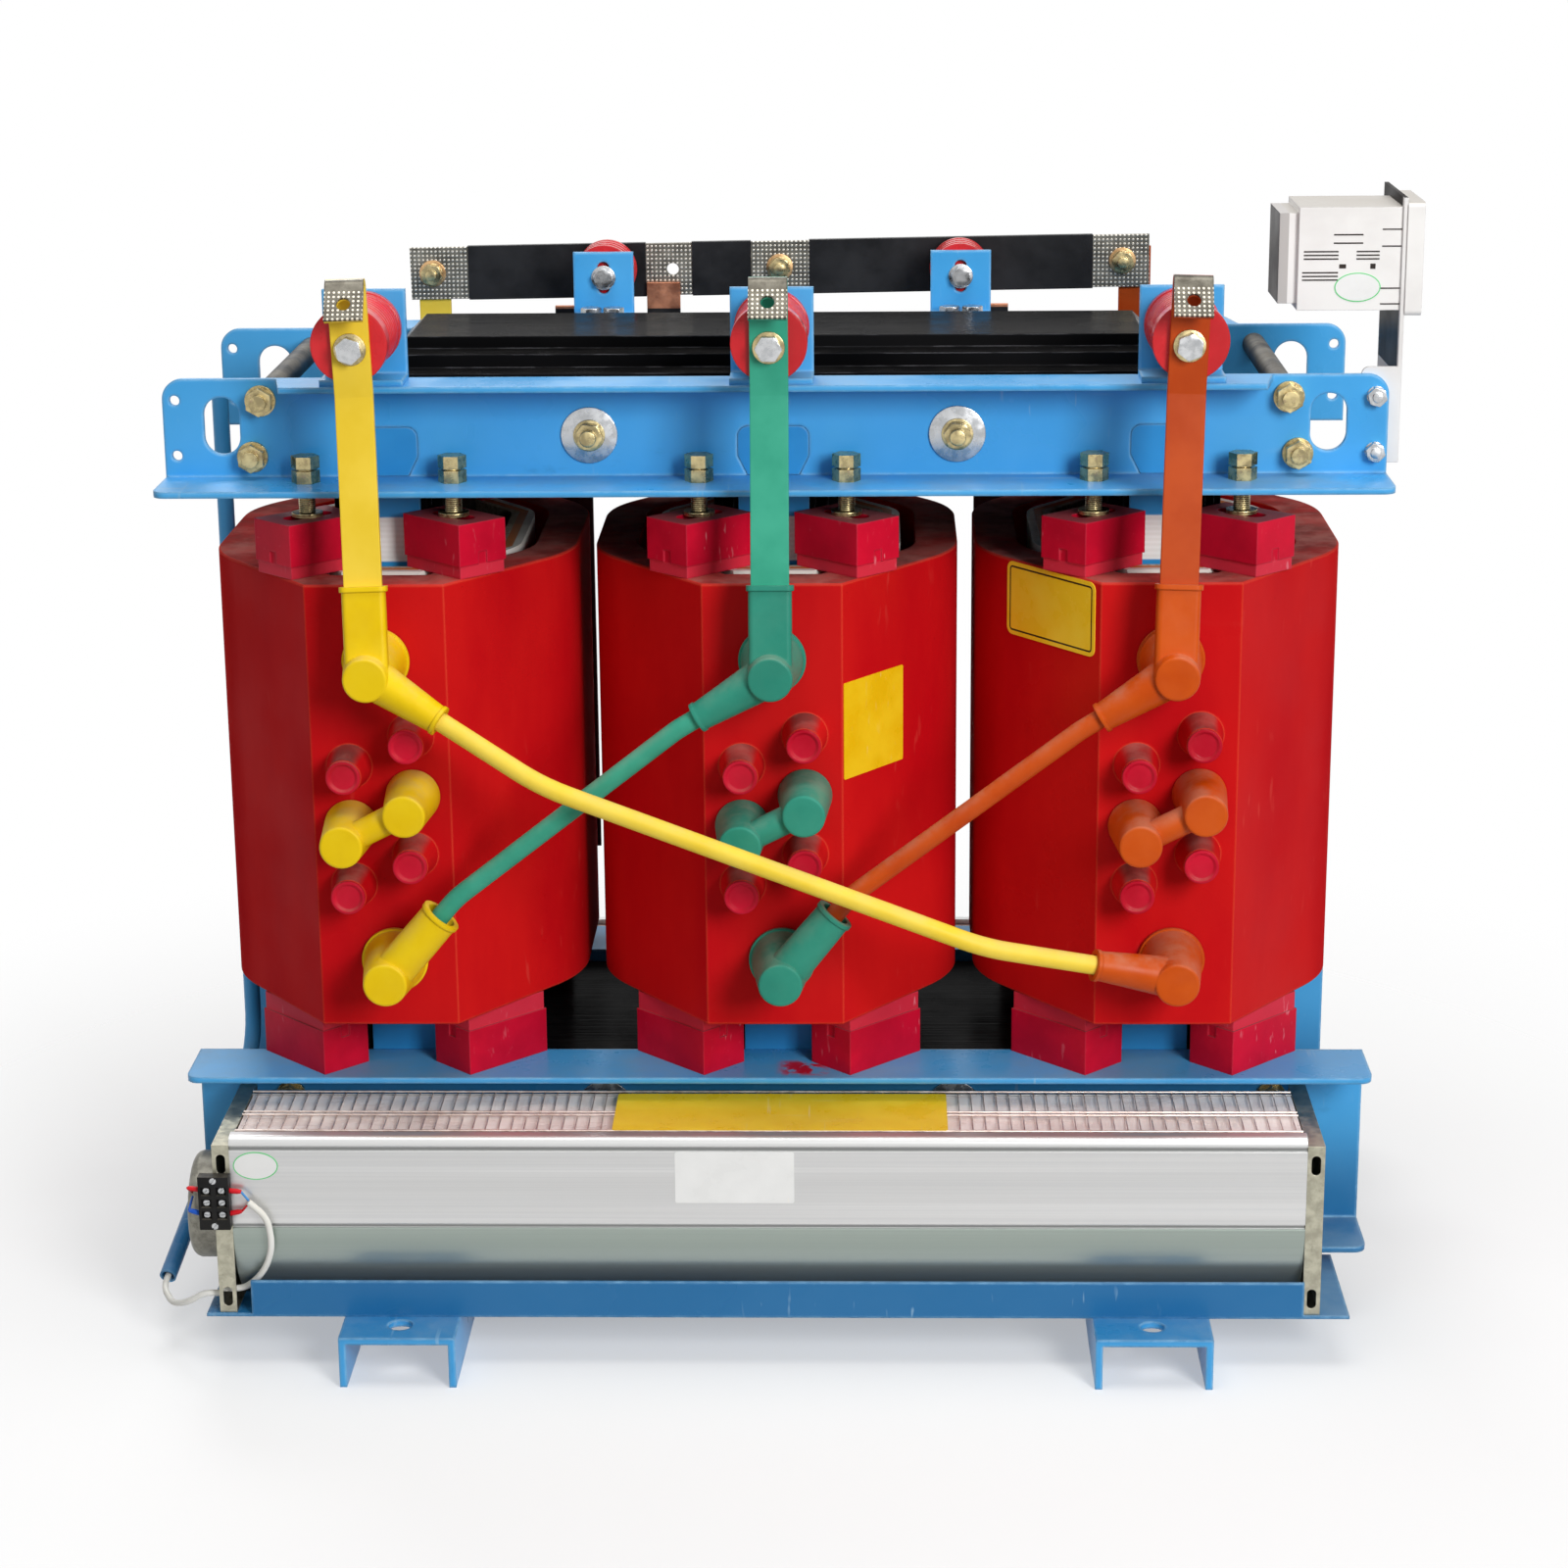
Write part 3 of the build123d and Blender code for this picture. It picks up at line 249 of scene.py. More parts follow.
# Scuffs: thin handling scratches left by slings and tools, in two directions and only here and there. The
# group gives their mask.
scuffs, ins, outs = shared_group(
    "scuffs", [("Scale", "NodeSocketFloat", 1.0), ("Amount", "NodeSocketFloat", 0.5)],
    [("Scuff", "NodeSocketFloat")])
marks = []
for turn, squeeze in (((0.3, 0.5, 0.9), (4, 160, 30)), ((1.1, -0.7, -0.4), (130, 5, 22))):
    where = lay(scuffs, "ShaderNodeVectorMath", {"operation": "SCALE"}, n0=stretched(scuffs, squeeze, turn),
                Scale=ins.outputs["Scale"]).outputs["Vector"]
    marks.append(remap(scuffs, mottle(scuffs, where, 1.0, 2.0, 0.5), 0.66, 0.74))
places = remap(scuffs, mottle(scuffs, spot_of(scuffs), 7.0, 3.0), 0.5, 0.66)
scratched = times(scuffs, reckon(scuffs, "MAXIMUM", *marks), places)
supply(scuffs, outs, Scuff=reckon(scuffs, "MULTIPLY", scratched, ins.outputs["Amount"], True))

core_lacquer, tree, skin = new_finish("core_lacquer")
sheets = mottle(tree, stretched(tree, (3, 520, 3)), 1.0, 2.0, 0.6)
runs = mottle(tree, stretched(tree, (26, 26, 9)), 1.0, 4.0)
edge = effect(tree, broken_edge, Radius=0.002)
dust = effect(tree, settled_dust, Scale=14.0, Amount=0.04)["Dust"]
# Painted highlight: broken light grey lines laid along the edges of the steps.
painted_glints = remap(tree, mottle(tree, stretched(tree, (22, 240, 240)), 1.0, 3.0, 0.6), 0.48, 0.62, 0.15, 0.9)
shade = between(tree, remap(tree, sheets, 0.35, 0.7), tint(9, 9, 10), tint(22, 22, 23))
shade = over(tree, shade, (times(tree, edge["Edge"], painted_glints), tint(98, 98, 102)), (dust, tint(96, 92, 86)))
height = reckon(tree, "ADD", times(tree, sheets, 0.7), times(tree, runs, 0.5))
supply(tree, skin, Base_Color=shade, Roughness=remap(tree, runs, 0.3, 0.75, 0.12, 0.3),
       Normal=relief(tree, height, 0.35, 0.0012, edge), Specular_IOR_Level=0.005)
dress(core_lacquer, "core_limbs", "upper_yoke", "lower_yoke")


# The clamps, feet, trays and brackets: cut and folded steel plate, sprayed sky blue in one satin coat
# with a little orange peel and dusty on top. The folds and edges are painted lighter, a painted highlight,
# with some rubbed paint as well, and the parts low down under the coils are painted a deeper blue,
# painted shade. A smear of red compound is left on the lower front clamp.
def clouded(tree, pattern, low, high):
    """Two shades that follow each other in clouds."""
    return between(tree, remap(tree, pattern, 0.3, 0.7), low, high)


def axes_of(tree):
    """The three coordinates of the place on the piece as separate values."""
    return lay(tree, "ShaderNodeSeparateXYZ", None, Vector=spot_of(tree)).outputs


def band(tree, value, low, high, soft=0.0004):
    """1 where a value lies between two limits, with a soft border."""
    return times(tree, remap(tree, value, low - soft, low + soft),
                 remap(tree, value, high + soft, high - soft))


clamp_paint, tree, skin = new_finish("clamp_paint")
spot = spot_of(tree)
across, depth, tall = axes_of(tree)
edge = effect(tree, broken_edge, Radius=0.0045)
dust = effect(tree, settled_dust, Scale=5.0, Amount=0.55)["Dust"]
scuff = effect(tree, scuffs, Scale=1.0, Amount=0.5)["Scuff"]
cloud = mottle(tree, spot, 5.0, 4.0)
peel = mottle(tree, spot, 420.0, 2.0)
grime = remap(tree, mottle(tree, stretched(tree, (9, 9, 16)), 1.0, 6.0, 0.72), 0.6, 0.76, 0.0, 0.4)
# Painted shade: below the top of the lower clamps the blue turns deeper, fading out above the feet.
low_down_painted_shade = times(tree, remap(tree, tall, 0.22, 0.1, 0.0, 0.9), remap(tree, tall, 0.047, 0.055, 0.1, 1.0))
# Painted highlight and wear: the edges and folds are painted a lighter blue in broken patches.
worn_and_highlit_edges = times(tree, edge["Edge"], remap(tree, mottle(tree, spot, 60.0), 0.35, 0.7, 0.35, 0.95))
smear = times(tree, band(tree, across, 0.004, 0.048, 0.008), band(tree, depth, -0.23, -0.192, 0.006),
              band(tree, tall, 0.258, 0.266), remap(tree, mottle(tree, spot, 70.0, 5.0), 0.42, 0.56))
shade = over(tree, clouded(tree, cloud, tint(62, 158, 220), tint(76, 170, 230)),
             (low_down_painted_shade, tint(26, 98, 150)), (worn_and_highlit_edges, tint(150, 204, 240)), (grime, tint(34, 102, 152)),
             (scuff, tint(160, 196, 220)), (dust, tint(126, 154, 178)), (smear, tint(186, 10, 40)))
dull = reckon(tree, "ADD", cloud, times(tree, dust, 0.6))
supply(tree, skin, Base_Color=shade, Roughness=remap(tree, dull, 0.3, 0.9, 0.25, 0.5),
       Normal=relief(tree, peel, 0.12, 0.0004, edge), Specular_IOR_Level=0.3)
dress(clamp_paint, "upper_clamp_front", "upper_clamp_back", "lower_clamp_front", "lower_clamp_back",
      "foot_left", "foot_right", "fan_trays", "post_brackets", "neutral_brackets", "conduit")

# The straps that tie the upper and lower clamps: flat steel in the same blue, hooked over the clamps and
# wrapped in white tape where they pass the rim of the coils.
tape_low, tape_high = 0.771, 0.815
strap_paint, tree, skin = new_finish("strap_paint")
edge = effect(tree, broken_edge, Radius=0.0025)
turns = lay(tree, "ShaderNodeTexWave", {"bands_direction": "Z"}, Vector=stretched(tree, (6, 6, 60)),
            Scale=1.0, Distortion=1.5).outputs["Fac"]
tape = between(tree, remap(tree, turns, 0.2, 0.9), tint(234, 232, 228), tint(240, 239, 236))
wrapped = band(tree, axes_of(tree)["Z"], tape_low, tape_high, 0.001)
shade = clouded(tree, mottle(tree, spot_of(tree), 9.0, 4.0), tint(40, 134, 198), tint(52, 148, 210))
# Painted highlight: the edges of the straps are painted a lighter blue.
shade = over(tree, shade, (times(tree, edge["Edge"], 0.6), tint(140, 196, 232)), (wrapped, tape))
supply(tree, skin, Base_Color=shade, Roughness=remap(tree, wrapped, 0.0, 1.0, 0.32, 0.7),
       Normal=relief(tree, times(tree, turns, wrapped), 0.05, 0.0008, edge), Specular_IOR_Level=0.3)
dress(strap_paint, "pull_plates")

# The high voltage coils: copper cast into red epoxy in a polished mould, so the faces are smooth, with
# faint flow clouds, light scratches and brown dust on the top rim. The thin bright edges where the facets
# meet are painted in a lighter orange red, a painted highlight.
coil_resin, tree, skin = new_finish("coil_resin")
spot = spot_of(tree)
edge = effect(tree, broken_edge, Radius=0.003)
scuff = effect(tree, scuffs, Scale=0.8, Amount=0.32)["Scuff"]
flow = mottle(tree, stretched(tree, (3, 3, 1.2)), 2.0, 5.0, 0.6)
specks = remap(tree, mottle(tree, spot, 190.0, 3.0, 0.7), 0.7, 0.76, 0.0, 0.5)
rim = remap(tree, faced(tree), 0.6, 0.95)
settled = remap(tree, mottle(tree, spot, 11.0, 6.0, 0.68), 0.3, 0.66, 0.45, 0.95)
dusty = remap(tree, mottle(tree, spot, 24.0, 4.0), 0.35, 0.65)
dusty = between(tree, dusty, tint(116, 62, 58), tint(164, 104, 96))
# Painted highlight: lighter orange red laid along the facet edges.
shade = over(tree, clouded(tree, flow, tint(190, 12, 22), tint(206, 26, 26)),
             (times(tree, edge["Edge"], 0.8), tint(232, 84, 56)), (scuff, tint(214, 76, 66)),
             (specks, tint(150, 8, 16)), (times(tree, rim, settled), dusty))
sheen = remap(tree, mottle(tree, spot, 9.0, 5.0), 0.3, 0.75, 0.24, 0.4)
glancing = lay(tree, "ShaderNodeLayerWeight", None, Blend=0.5).outputs["Facing"]
dull = reckon(tree, "ADD", times(tree, rim, 0.3), remap(tree, glancing, 0.35, 0.85, 0.0, 0.6))
fine = times(tree, mottle(tree, spot, 300.0, 1.0), 0.012)
waves = reckon(tree, "ADD", mottle(tree, spot, 8.0, 1.0), fine)
supply(tree, skin, Base_Color=shade, Roughness=reckon(tree, "ADD", sheen, dull, True),
       Normal=relief(tree, waves, 0.35, 0.004, edge), Specular_IOR_Level=0.04)
dress(coil_resin, "hv_coil_a", "hv_coil_b", "hv_coil_c")

# The low voltage coils: copper foil wound with resin-soaked sheet. At the ends shows a white paper rim,
# an orange fibre ring inside it, and the cream layers of the winding, all following the coil's facets.
coil_pitch = 0.38
facet_x, facet_y = 0.7988, 0.6019
foil_wrap, tree, skin = new_finish("foil_wrap")
axes = axes_of(tree)
side = lay(tree, "ShaderNodeMath", {"operation": "WRAP"}, n0=axes["X"], n1=coil_pitch / 2,
           n2=-coil_pitch / 2).outputs[0]
side = reckon(tree, "ABSOLUTE", side)
depth = reckon(tree, "ABSOLUTE", axes["Y"])
slant = reckon(tree, "ADD", times(tree, side, facet_x), times(tree, depth, facet_y))
inward = reckon(tree, "MAXIMUM", reckon(tree, "SUBTRACT", depth, 0.26), reckon(tree, "SUBTRACT", slant, 0.21))
inward = reckon(tree, "MAXIMUM", inward, reckon(tree, "SUBTRACT", side, 0.181))
grain = mottle(tree, spot_of(tree), 260.0, 2.0)
turns = reckon(tree, "PINGPONG", inward, 0.0009)
dust = effect(tree, settled_dust, Scale=12.0, Amount=0.5)["Dust"]
shade = between(tree, remap(tree, grain, 0.35, 0.7), tint(176, 160, 134), tint(214, 204, 186))
shade = over(tree, shade, (remap(tree, turns, 0.0, 0.0005, 0.5, 0.0), tint(96, 78, 58)),
             (band(tree, inward, -0.074, -0.065, 0.0005), tint(204, 120, 62)),
             (band(tree, inward, -0.065, -0.050, 0.0005), tint(232, 228, 220)), (dust, tint(120, 104, 88)))
supply(tree, skin, Base_Color=shade, Roughness=0.55, Normal=relief(tree, grain, 0.3, 0.001),
       Specular_IOR_Level=0.2)
dress(foil_wrap, "lv_coil_a", "lv_coil_b", "lv_coil_c")

# The press blocks: crimson moulding compound with glass strands, matt, with pale rubbed corners, the top
# faces brown with dust, and a soft pad against the coil that is a little paler.
moulded_block, tree, skin = new_finish("moulded_block")
spot = spot_of(tree)
tall = axes_of(tree)["Z"]
edge = effect(tree, broken_edge, Radius=0.002)
scuff = effect(tree, scuffs, Scale=1.6, Amount=0.7)["Scuff"]
strands = mottle(tree, spot, 150.0, 4.0, 0.7)
cloud = mottle(tree, spot, 14.0, 4.0)
pad = reckon(tree, "MAXIMUM", band(tree, tall, 0.770, 0.783, 0.0003), band(tree, tall, 0.308, 0.327, 0.0003))
rim = times(tree, remap(tree, faced(tree), 0.6, 0.95), remap(tree, cloud, 0.3, 0.7, 0.55, 0.9))
shade = over(tree, clouded(tree, cloud, tint(184, 2, 38), tint(212, 10, 48)),
             (times(tree, pad, 0.6), tint(216, 58, 76)),
             (remap(tree, strands, 0.62, 0.76, 0.0, 0.25), tint(224, 90, 110)),
             (times(tree, edge["Edge"], 0.45), tint(230, 74, 98)),
             (scuff, tint(232, 150, 160)), (rim, tint(144, 78, 80)))
supply(tree, skin, Base_Color=shade, Roughness=0.5, Normal=relief(tree, strands, 0.25, 0.0006, edge),
       Specular_IOR_Level=0.16)
dress(moulded_block, "top_blocks", "bottom_blocks")

# Screws, nuts, rods and washers: turned steel in yellow chromated zinc, which dries to patches of gold,
# olive and a little violet. The press screws show their thread between the nut and the block, with painted
# shade darkening its grooves.
thread_low, thread_high = 0.826, 0.8508


def plated_steel(name, low, high, stain, rough, threaded=False):
    finish, tree, skin = new_finish(name)
    spot = spot_of(tree)
    patches = mottle(tree, spot, 90.0, 4.0, 0.6)
    stains = remap(tree, mottle(tree, spot, 230.0, 2.0), 0.6, 0.74, 0.0, 0.4)
    shade = over(tree, between(tree, remap(tree, patches, 0.32, 0.68), low, high), (stains, stain))
    height = times(tree, mottle(tree, spot, 500.0), 0.4)
    if threaded:
        tall = axes_of(tree)["Z"]
        thread = band(tree, tall, thread_low, thread_high)
        groove = reckon(tree, "PINGPONG", tall, 0.001)
        cut = times(tree, remap(tree, groove, 0.0, 0.001), thread, 2.5)
        height = reckon(tree, "ADD", height, cut)
        # Painted shade: the grooves of the thread are painted dark brown.
        thread_painted_shade = times(tree, remap(tree, groove, 0.0006, 0.0), thread, 0.8)
        shade = between(tree, thread_painted_shade, shade, tint(70, 58, 38))
    edge = effect(tree, broken_edge, Radius=0.0009)
    supply(tree, skin, Base_Color=shade, Metallic=0.92,
           Roughness=remap(tree, patches, 0.3, 0.7, rough - 0.06, rough + 0.12),
           Normal=relief(tree, height, 0.3 if threaded else 0.1, 0.0006, edge))
    return finish


gold_zinc = plated_steel("gold_zinc", tint(150, 137, 102), tint(208, 190, 140), tint(152, 122, 112),
                         0.26, True)
bright_zinc = plated_steel("bright_zinc", tint(176, 178, 180), tint(200, 201, 202), tint(150, 152, 156),
                           0.24)
dress(gold_zinc, "press_bolts", "tie_rods")


# Bolts of the high voltage bars, the neutral brackets and the controller's bracket: bright zinc hexagons
# on thin washers, screwed into the ends of the posts and through the clamps.
def begin():
    bpy.ops.object.select_all(action="DESELECT")


def work_on(piece):
    begin()
    piece.select_set(True)
    bpy.context.view_layer.objects.active = piece


def set_down(piece):
    """Puts a piece's place, turn and size into its mesh."""
    work_on(piece)
    bpy.ops.object.transform_apply(location=True, rotation=True, scale=True)


def apply_modifier(piece, kind, **settings):
    work_on(piece)
    modifier = piece.modifiers.new(kind.lower(), kind)
    for key, value in settings.items():
        setattr(modifier, key, value)
    bpy.ops.object.modifier_apply(modifier=modifier.name)


def join(pieces):
    begin()
    for piece in pieces:
        piece.select_set(True)
    bpy.context.view_layer.objects.active = pieces[0]
    if len(pieces) > 1:
        bpy.ops.object.join()
    return pieces[0]


def settle(piece, name, slot, *finishes):
    """Fixes a finished piece to the transformer: its place goes into its mesh and it gets its finish."""
    set_down(piece)
    bpy.ops.object.shade_smooth_by_angle(angle=math.radians(35))
    piece.name = name
    piece.data.name = name
    slots = piece.data.materials
    for i, finish in enumerate(finishes):
        if i < len(slots):
            slots[i] = finish
        else:
            slots.append(finish)
    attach(piece, "root")


def spread(master, places):
    """Copies one modelled piece to its places, each with its own mesh, and joins them as one set."""
    set_down(master)
    copies = []
    for place in places:
        copy = master.copy()
        copy.data = master.data.copy()
        copy.data.transform(place)
        bpy.context.scene.collection.objects.link(copy)
        copies.append(copy)
    bpy.data.objects.remove(master)
    return join(copies)


def toward(place, way, turn=0.0):
    """The place of a piece that stands on its seat with its top looking along a way."""
    return (Matrix.Translation(place) @ Vector(way).to_track_quat("Z", "Y").to_matrix().to_4x4()
            @ Matrix.Rotation(turn, 4, "Z"))


def turned_disc(radius, low, high, round_off, sides=36):
    """A turned round with a softened rim, between two heights."""
    begin()
    bpy.ops.mesh.primitive_cylinder_add(vertices=sides, radius=radius, depth=high - low,
                                        location=(0, 0, (low + high) / 2))
    disc = bpy.context.object
    apply_modifier(disc, "BEVEL", width=round_off, segments=2, limit_method="ANGLE")
    return disc


def hex_head(across, tall, washer_r, washer_t, end_r=0.0, end_h=0.0):
    """A hexagon with turned corners on its washer, with the screw's end standing out of it if it has one."""
    corner = across / math.sqrt(3)
    top = washer_t + tall
    begin()
    bpy.ops.mesh.primitive_cylinder_add(vertices=6, radius=corner, depth=tall,
                                        location=(0, 0, washer_t + tall / 2))
    hexagon = bpy.context.object
    turned = turned_disc(corner * 1.004, washer_t - 0.0001, top, corner * 0.12)
    apply_modifier(hexagon, "BOOLEAN", operation="INTERSECT", object=turned, solver="EXACT")
    bpy.data.objects.remove(turned)
    set_of = [hexagon]
    if washer_r:
        set_of.append(turned_disc(washer_r, 0, washer_t, washer_t * 0.3))
    if end_r:
        set_of.append(turned_disc(end_r, top - 0.001, top + end_h, end_r * 0.16, 24))
    return join(set_of)


washer_t = 0.0022
clamp_face = 0.163
bar_bolts = [toward((x, -0.283, 1.0), (0, -1, 0), turn)
             for x, turn in ((-0.389, 0.2), (0, 0.5), (0.389, 0.9))]
bar_washer = turned_disc(0.0152, 0, washer_t, 0.0007)
settle(spread(bar_washer, bar_bolts), "hv_bar_washers", "zinc_yellow", gold_zinc)
settle(spread(hex_head(0.0225, 0.0105, 0, washer_t), bar_bolts), "hv_bar_bolts", "fan_zinc", bright_zinc)
bracket_x = (-0.19, 0.19)
bracket_bolt = hex_head(0.019, 0.008, 0.013, 0.002)
places = [toward((x, 0.215, 0.997), (0, -1, 0), 0.3) for x in bracket_x]
places += [toward((x + dx, 0.19, 0.959), (0, 0, 1), 0.6) for x in bracket_x for dx in (-0.012, 0.012)]
settle(spread(bracket_bolt, places), "neutral_bracket_bolts", "fan_zinc", bright_zinc)
end_nut = hex_head(0.017, 0.0085, 0.0095, 0.0012, 0.005, 0.002)
places = [toward((0.58, -clamp_face, z), (0, -1, 0), 0.25) for z in (0.932, 0.878)]
settle(spread(end_nut, places), "controller_nuts", "fan_zinc", bright_zinc)


# Nuts of the long studs through the core: gold nuts on broad bright washers, screwed tight on the outer
# faces of the upper and lower clamps, with the end of the stud standing out.
def raised(places, height):
    """The same places, moved out from their seats."""
    return [place @ Matrix.Translation((0, 0, height)) for place in places]


broad_t = 0.0025
stud_nut = hex_head(0.024, 0.012, 0.0155, 0.002, 0.008, 0.009)
broad_washer = turned_disc(0.0275, 0, broad_t, 0.0008, 48)
clamp_studs = [toward((x, side * clamp_face, z), (0, side, 0), 0.4)
               for z in (0.897, 0.203) for x in (-0.178, 0.178) for side in (-1, 1)]
settle(spread(broad_washer, clamp_studs), "stud_washers", "fan_zinc", bright_zinc)
settle(spread(stud_nut, raised(clamp_studs, broad_t)), "stud_nuts", "zinc_yellow", gold_zinc)


# Sleeves and plugs of the high voltage leads: soft vinyl dipped or shrunk on in the colour of the phase,
# satin and slightly uneven. The moulded posts, the tap caps and the fan's white lead share the finish in
# shades and gloss of their own.
def vinyl(name, low, high, rough=0.34, gloss=0.13):
    finish, tree, skin = new_finish(name)
    spot = spot_of(tree)
    cloud = mottle(tree, spot, 16.0, 4.0)
    dust = effect(tree, settled_dust, Scale=22.0, Amount=0.25)["Dust"]
    edge = effect(tree, broken_edge, Radius=0.0022)
    fine = times(tree, mottle(tree, spot, 700.0, 1.0), 0.05)
    waves = reckon(tree, "ADD", mottle(tree, spot, 45.0, 2.0), fine)
    supply(tree, skin, Base_Color=over(tree, clouded(tree, cloud, low, high), (dust, tint(190, 180, 160))),
           Roughness=remap(tree, cloud, 0.3, 0.7, rough - 0.05, rough + 0.1),
           Normal=relief(tree, waves, 0.3, 0.0012, edge), Specular_IOR_Level=gloss)
    return finish


dress(vinyl("boot_yellow", tint(230, 190, 8), tint(240, 204, 20)), "hv_boots_a")
dress(vinyl("boot_green", tint(42, 132, 112), tint(54, 146, 124)), "hv_boots_b")
dress(vinyl("boot_orange", tint(192, 72, 10), tint(204, 84, 16)), "hv_boots_c")
dress(vinyl("tube_yellow", tint(240, 206, 56), tint(246, 216, 84), 0.4), "delta_tube_a", "lv_lead_a")
dress(vinyl("tube_green", tint(52, 148, 122), tint(66, 164, 138), 0.4), "delta_tube_b", "lv_lead_b")
dress(vinyl("tube_orange", tint(186, 66, 12), tint(198, 80, 20), 0.4), "delta_tube_c", "lv_lead_c")
dress(vinyl("black_sleeve", tint(16, 16, 17), tint(30, 30, 31), 0.42), "rod_sleeves", "fan_terminals")
dress(vinyl("cap_crimson", tint(182, 6, 36), tint(208, 22, 52)), "tap_caps")
dress(vinyl("post_gloss", tint(190, 20, 30), tint(214, 40, 48), 0.24, 0.3), "hv_posts", "neutral_posts")
dress(vinyl("lead_white", tint(226, 224, 216), tint(240, 239, 233), 0.36), "fan_cable")


# The high voltage bars: flat copper in a shrunk sleeve of the phase colour. The folded tab at the top is
# bare, tinned dark, and pressed with rows of small bright dots below its bend.
def pressed_dots(tree, *rows):
    """Small round dots at the crossings of two rows of lines, 4.6 mm apart."""
    cells = [reckon(tree, "POWER", reckon(tree, "PINGPONG", row, 0.0023), 2.0) for row in rows]
    return remap(tree, reckon(tree, "SQRT", reckon(tree, "ADD", *cells)), 0.0014, 0.0009)


def sleeved_bar(name, low, high, middle):
    finish, tree, skin = new_finish(name)
    spot = spot_of(tree)
    across, depth, tall = axes_of(tree)
    cloud = mottle(tree, spot, 16.0, 4.0)
    edge = effect(tree, broken_edge, Radius=0.002)
    outer = reckon(tree, "SUBTRACT", times(tree, tall, 0.6), times(tree, depth, 0.8))
    bare = remap(tree, outer, 0.8686, 0.8694)
    along = reckon(tree, "ADD", times(tree, depth, 0.6), times(tree, tall, 0.8))
    dots = pressed_dots(tree, reckon(tree, "SUBTRACT", across, middle),
                        reckon(tree, "SUBTRACT", along, 0.6376))
    dots = times(tree, dots, band(tree, along, 0.6365, 0.6675, 0.0006))
    tin = clouded(tree, mottle(tree, spot, 60.0, 5.0, 0.7), tint(78, 74, 66), tint(112, 108, 98))
    tin = between(tree, dots, tin, tint(214, 206, 188))
    waves = times(tree, mottle(tree, spot, 45.0, 2.0), 0.5)
    height = reckon(tree, "ADD", waves, times(tree, dots, bare, 0.8))
    supply(tree, skin, Base_Color=between(tree, bare, clouded(tree, cloud, low, high), tin),
           Metallic=times(tree, bare, 0.75), Roughness=remap(tree, cloud, 0.3, 0.7, 0.3, 0.42),
           Normal=relief(tree, height, 0.4, 0.001, edge), Specular_IOR_Level=0.2)
    return finish


dress(sleeved_bar("bar_yellow", tint(234, 198, 48), tint(242, 208, 66), -0.39), "hv_bar_a")
dress(sleeved_bar("bar_green", tint(51, 153, 125), tint(64, 168, 138), 0.0), "hv_bar_b")
dress(sleeved_bar("bar_orange", tint(174, 61, 6), tint(186, 71, 10), 0.39), "hv_bar_c")

# The neutral bar: tinned copper in black sleeves, bare and knurled where a lug is bolted on. Three of
# the bare pads carry a yellow zinc nut on a copper washer, with the bolt's head behind the lead.
neutral_finish, tree, skin = new_finish("neutral_finish")
spot = spot_of(tree)
axes = axes_of(tree)
edge = effect(tree, broken_edge, Radius=0.0015)
bare = remap(tree, axes["X"], -0.3417, -0.3423)
for low, high in ((-0.149, -0.099), (-0.035, 0.028), (0.334, 0.5)):
    bare = reckon(tree, "MAXIMUM", bare, band(tree, axes["X"], low, high, 0.0003))
dots = pressed_dots(tree, axes["X"], axes["Z"])
tin = clouded(tree, mottle(tree, spot, 60.0, 5.0, 0.7), tint(96, 92, 84), tint(134, 130, 120))
tin = between(tree, dots, tin, tint(216, 210, 198))
sleeve = clouded(tree, mottle(tree, spot, 20.0, 4.0), tint(22, 22, 24), tint(40, 40, 42))
height = reckon(tree, "ADD", mottle(tree, spot, 45.0, 2.0), times(tree, dots, bare))
supply(tree, skin, Base_Color=between(tree, bare, sleeve, tin), Metallic=times(tree, bare, 0.75),
       Roughness=remap(tree, mottle(tree, spot, 30.0, 4.0), 0.3, 0.7, 0.32, 0.46),
       Normal=relief(tree, height, 0.35, 0.0008, edge), Specular_IOR_Level=0.15)
dress(neutral_finish, "neutral_bar")
copper_plate = plated_steel("copper_plate", tint(170, 134, 92), tint(206, 168, 122), tint(140, 102, 78), 0.3)
pad_spots = [(x, 0.998 + (x + 0.005) * 0.0135) for x in (-0.381, -0.004, 0.366)]
pads = [toward((x, 0.285, z), (0, -1, 0), 0.3) for x, z in pad_spots]
settle(spread(turned_disc(0.0145, 0, washer_t, 0.0007), pads), "pad_washers", "copper", copper_plate)
pad_nut = hex_head(0.021, 0.0095, 0.0115, 0.0014, 0.006, 0.005)
settle(spread(pad_nut, raised(pads, washer_t)), "pad_nuts", "zinc_yellow", gold_zinc)
lead_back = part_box("lv_lead_a")[1][1]
pad_heads = [toward((x, lead_back, z), (0, 1, 0), 0.5) for x, z in pad_spots]
settle(spread(hex_head(0.019, 0.008, 0.0125, 0.002), pad_heads), "pad_bolt_heads", "fan_zinc", bright_zinc)

# The low voltage risers: flat copper strips from the feet of the inner coils, bent outward and led up in
# shrunk black sleeve, with the bare copper showing at the top.
sleeve_end = 0.955
riser, tree, skin = new_finish("riser")
edge = effect(tree, broken_edge, Radius=0.0015)
bare = remap(tree, axes_of(tree)["Z"], sleeve_end - 0.0003, sleeve_end + 0.0003)
patches = mottle(tree, spot_of(tree), 40.0, 5.0, 0.65)
metal = clouded(tree, patches, tint(170, 104, 76), tint(210, 144, 110))
sleeve = clouded(tree, patches, tint(20, 20, 21), tint(36, 36, 37))
supply(tree, skin, Base_Color=between(tree, bare, sleeve, metal), Metallic=times(tree, bare, 0.9),
       Roughness=remap(tree, patches, 0.3, 0.7, 0.3, 0.46),
       Normal=relief(tree, patches, 0.25, 0.0008, edge), Specular_IOR_Level=0.15)
dress(riser, "lv_terminals")
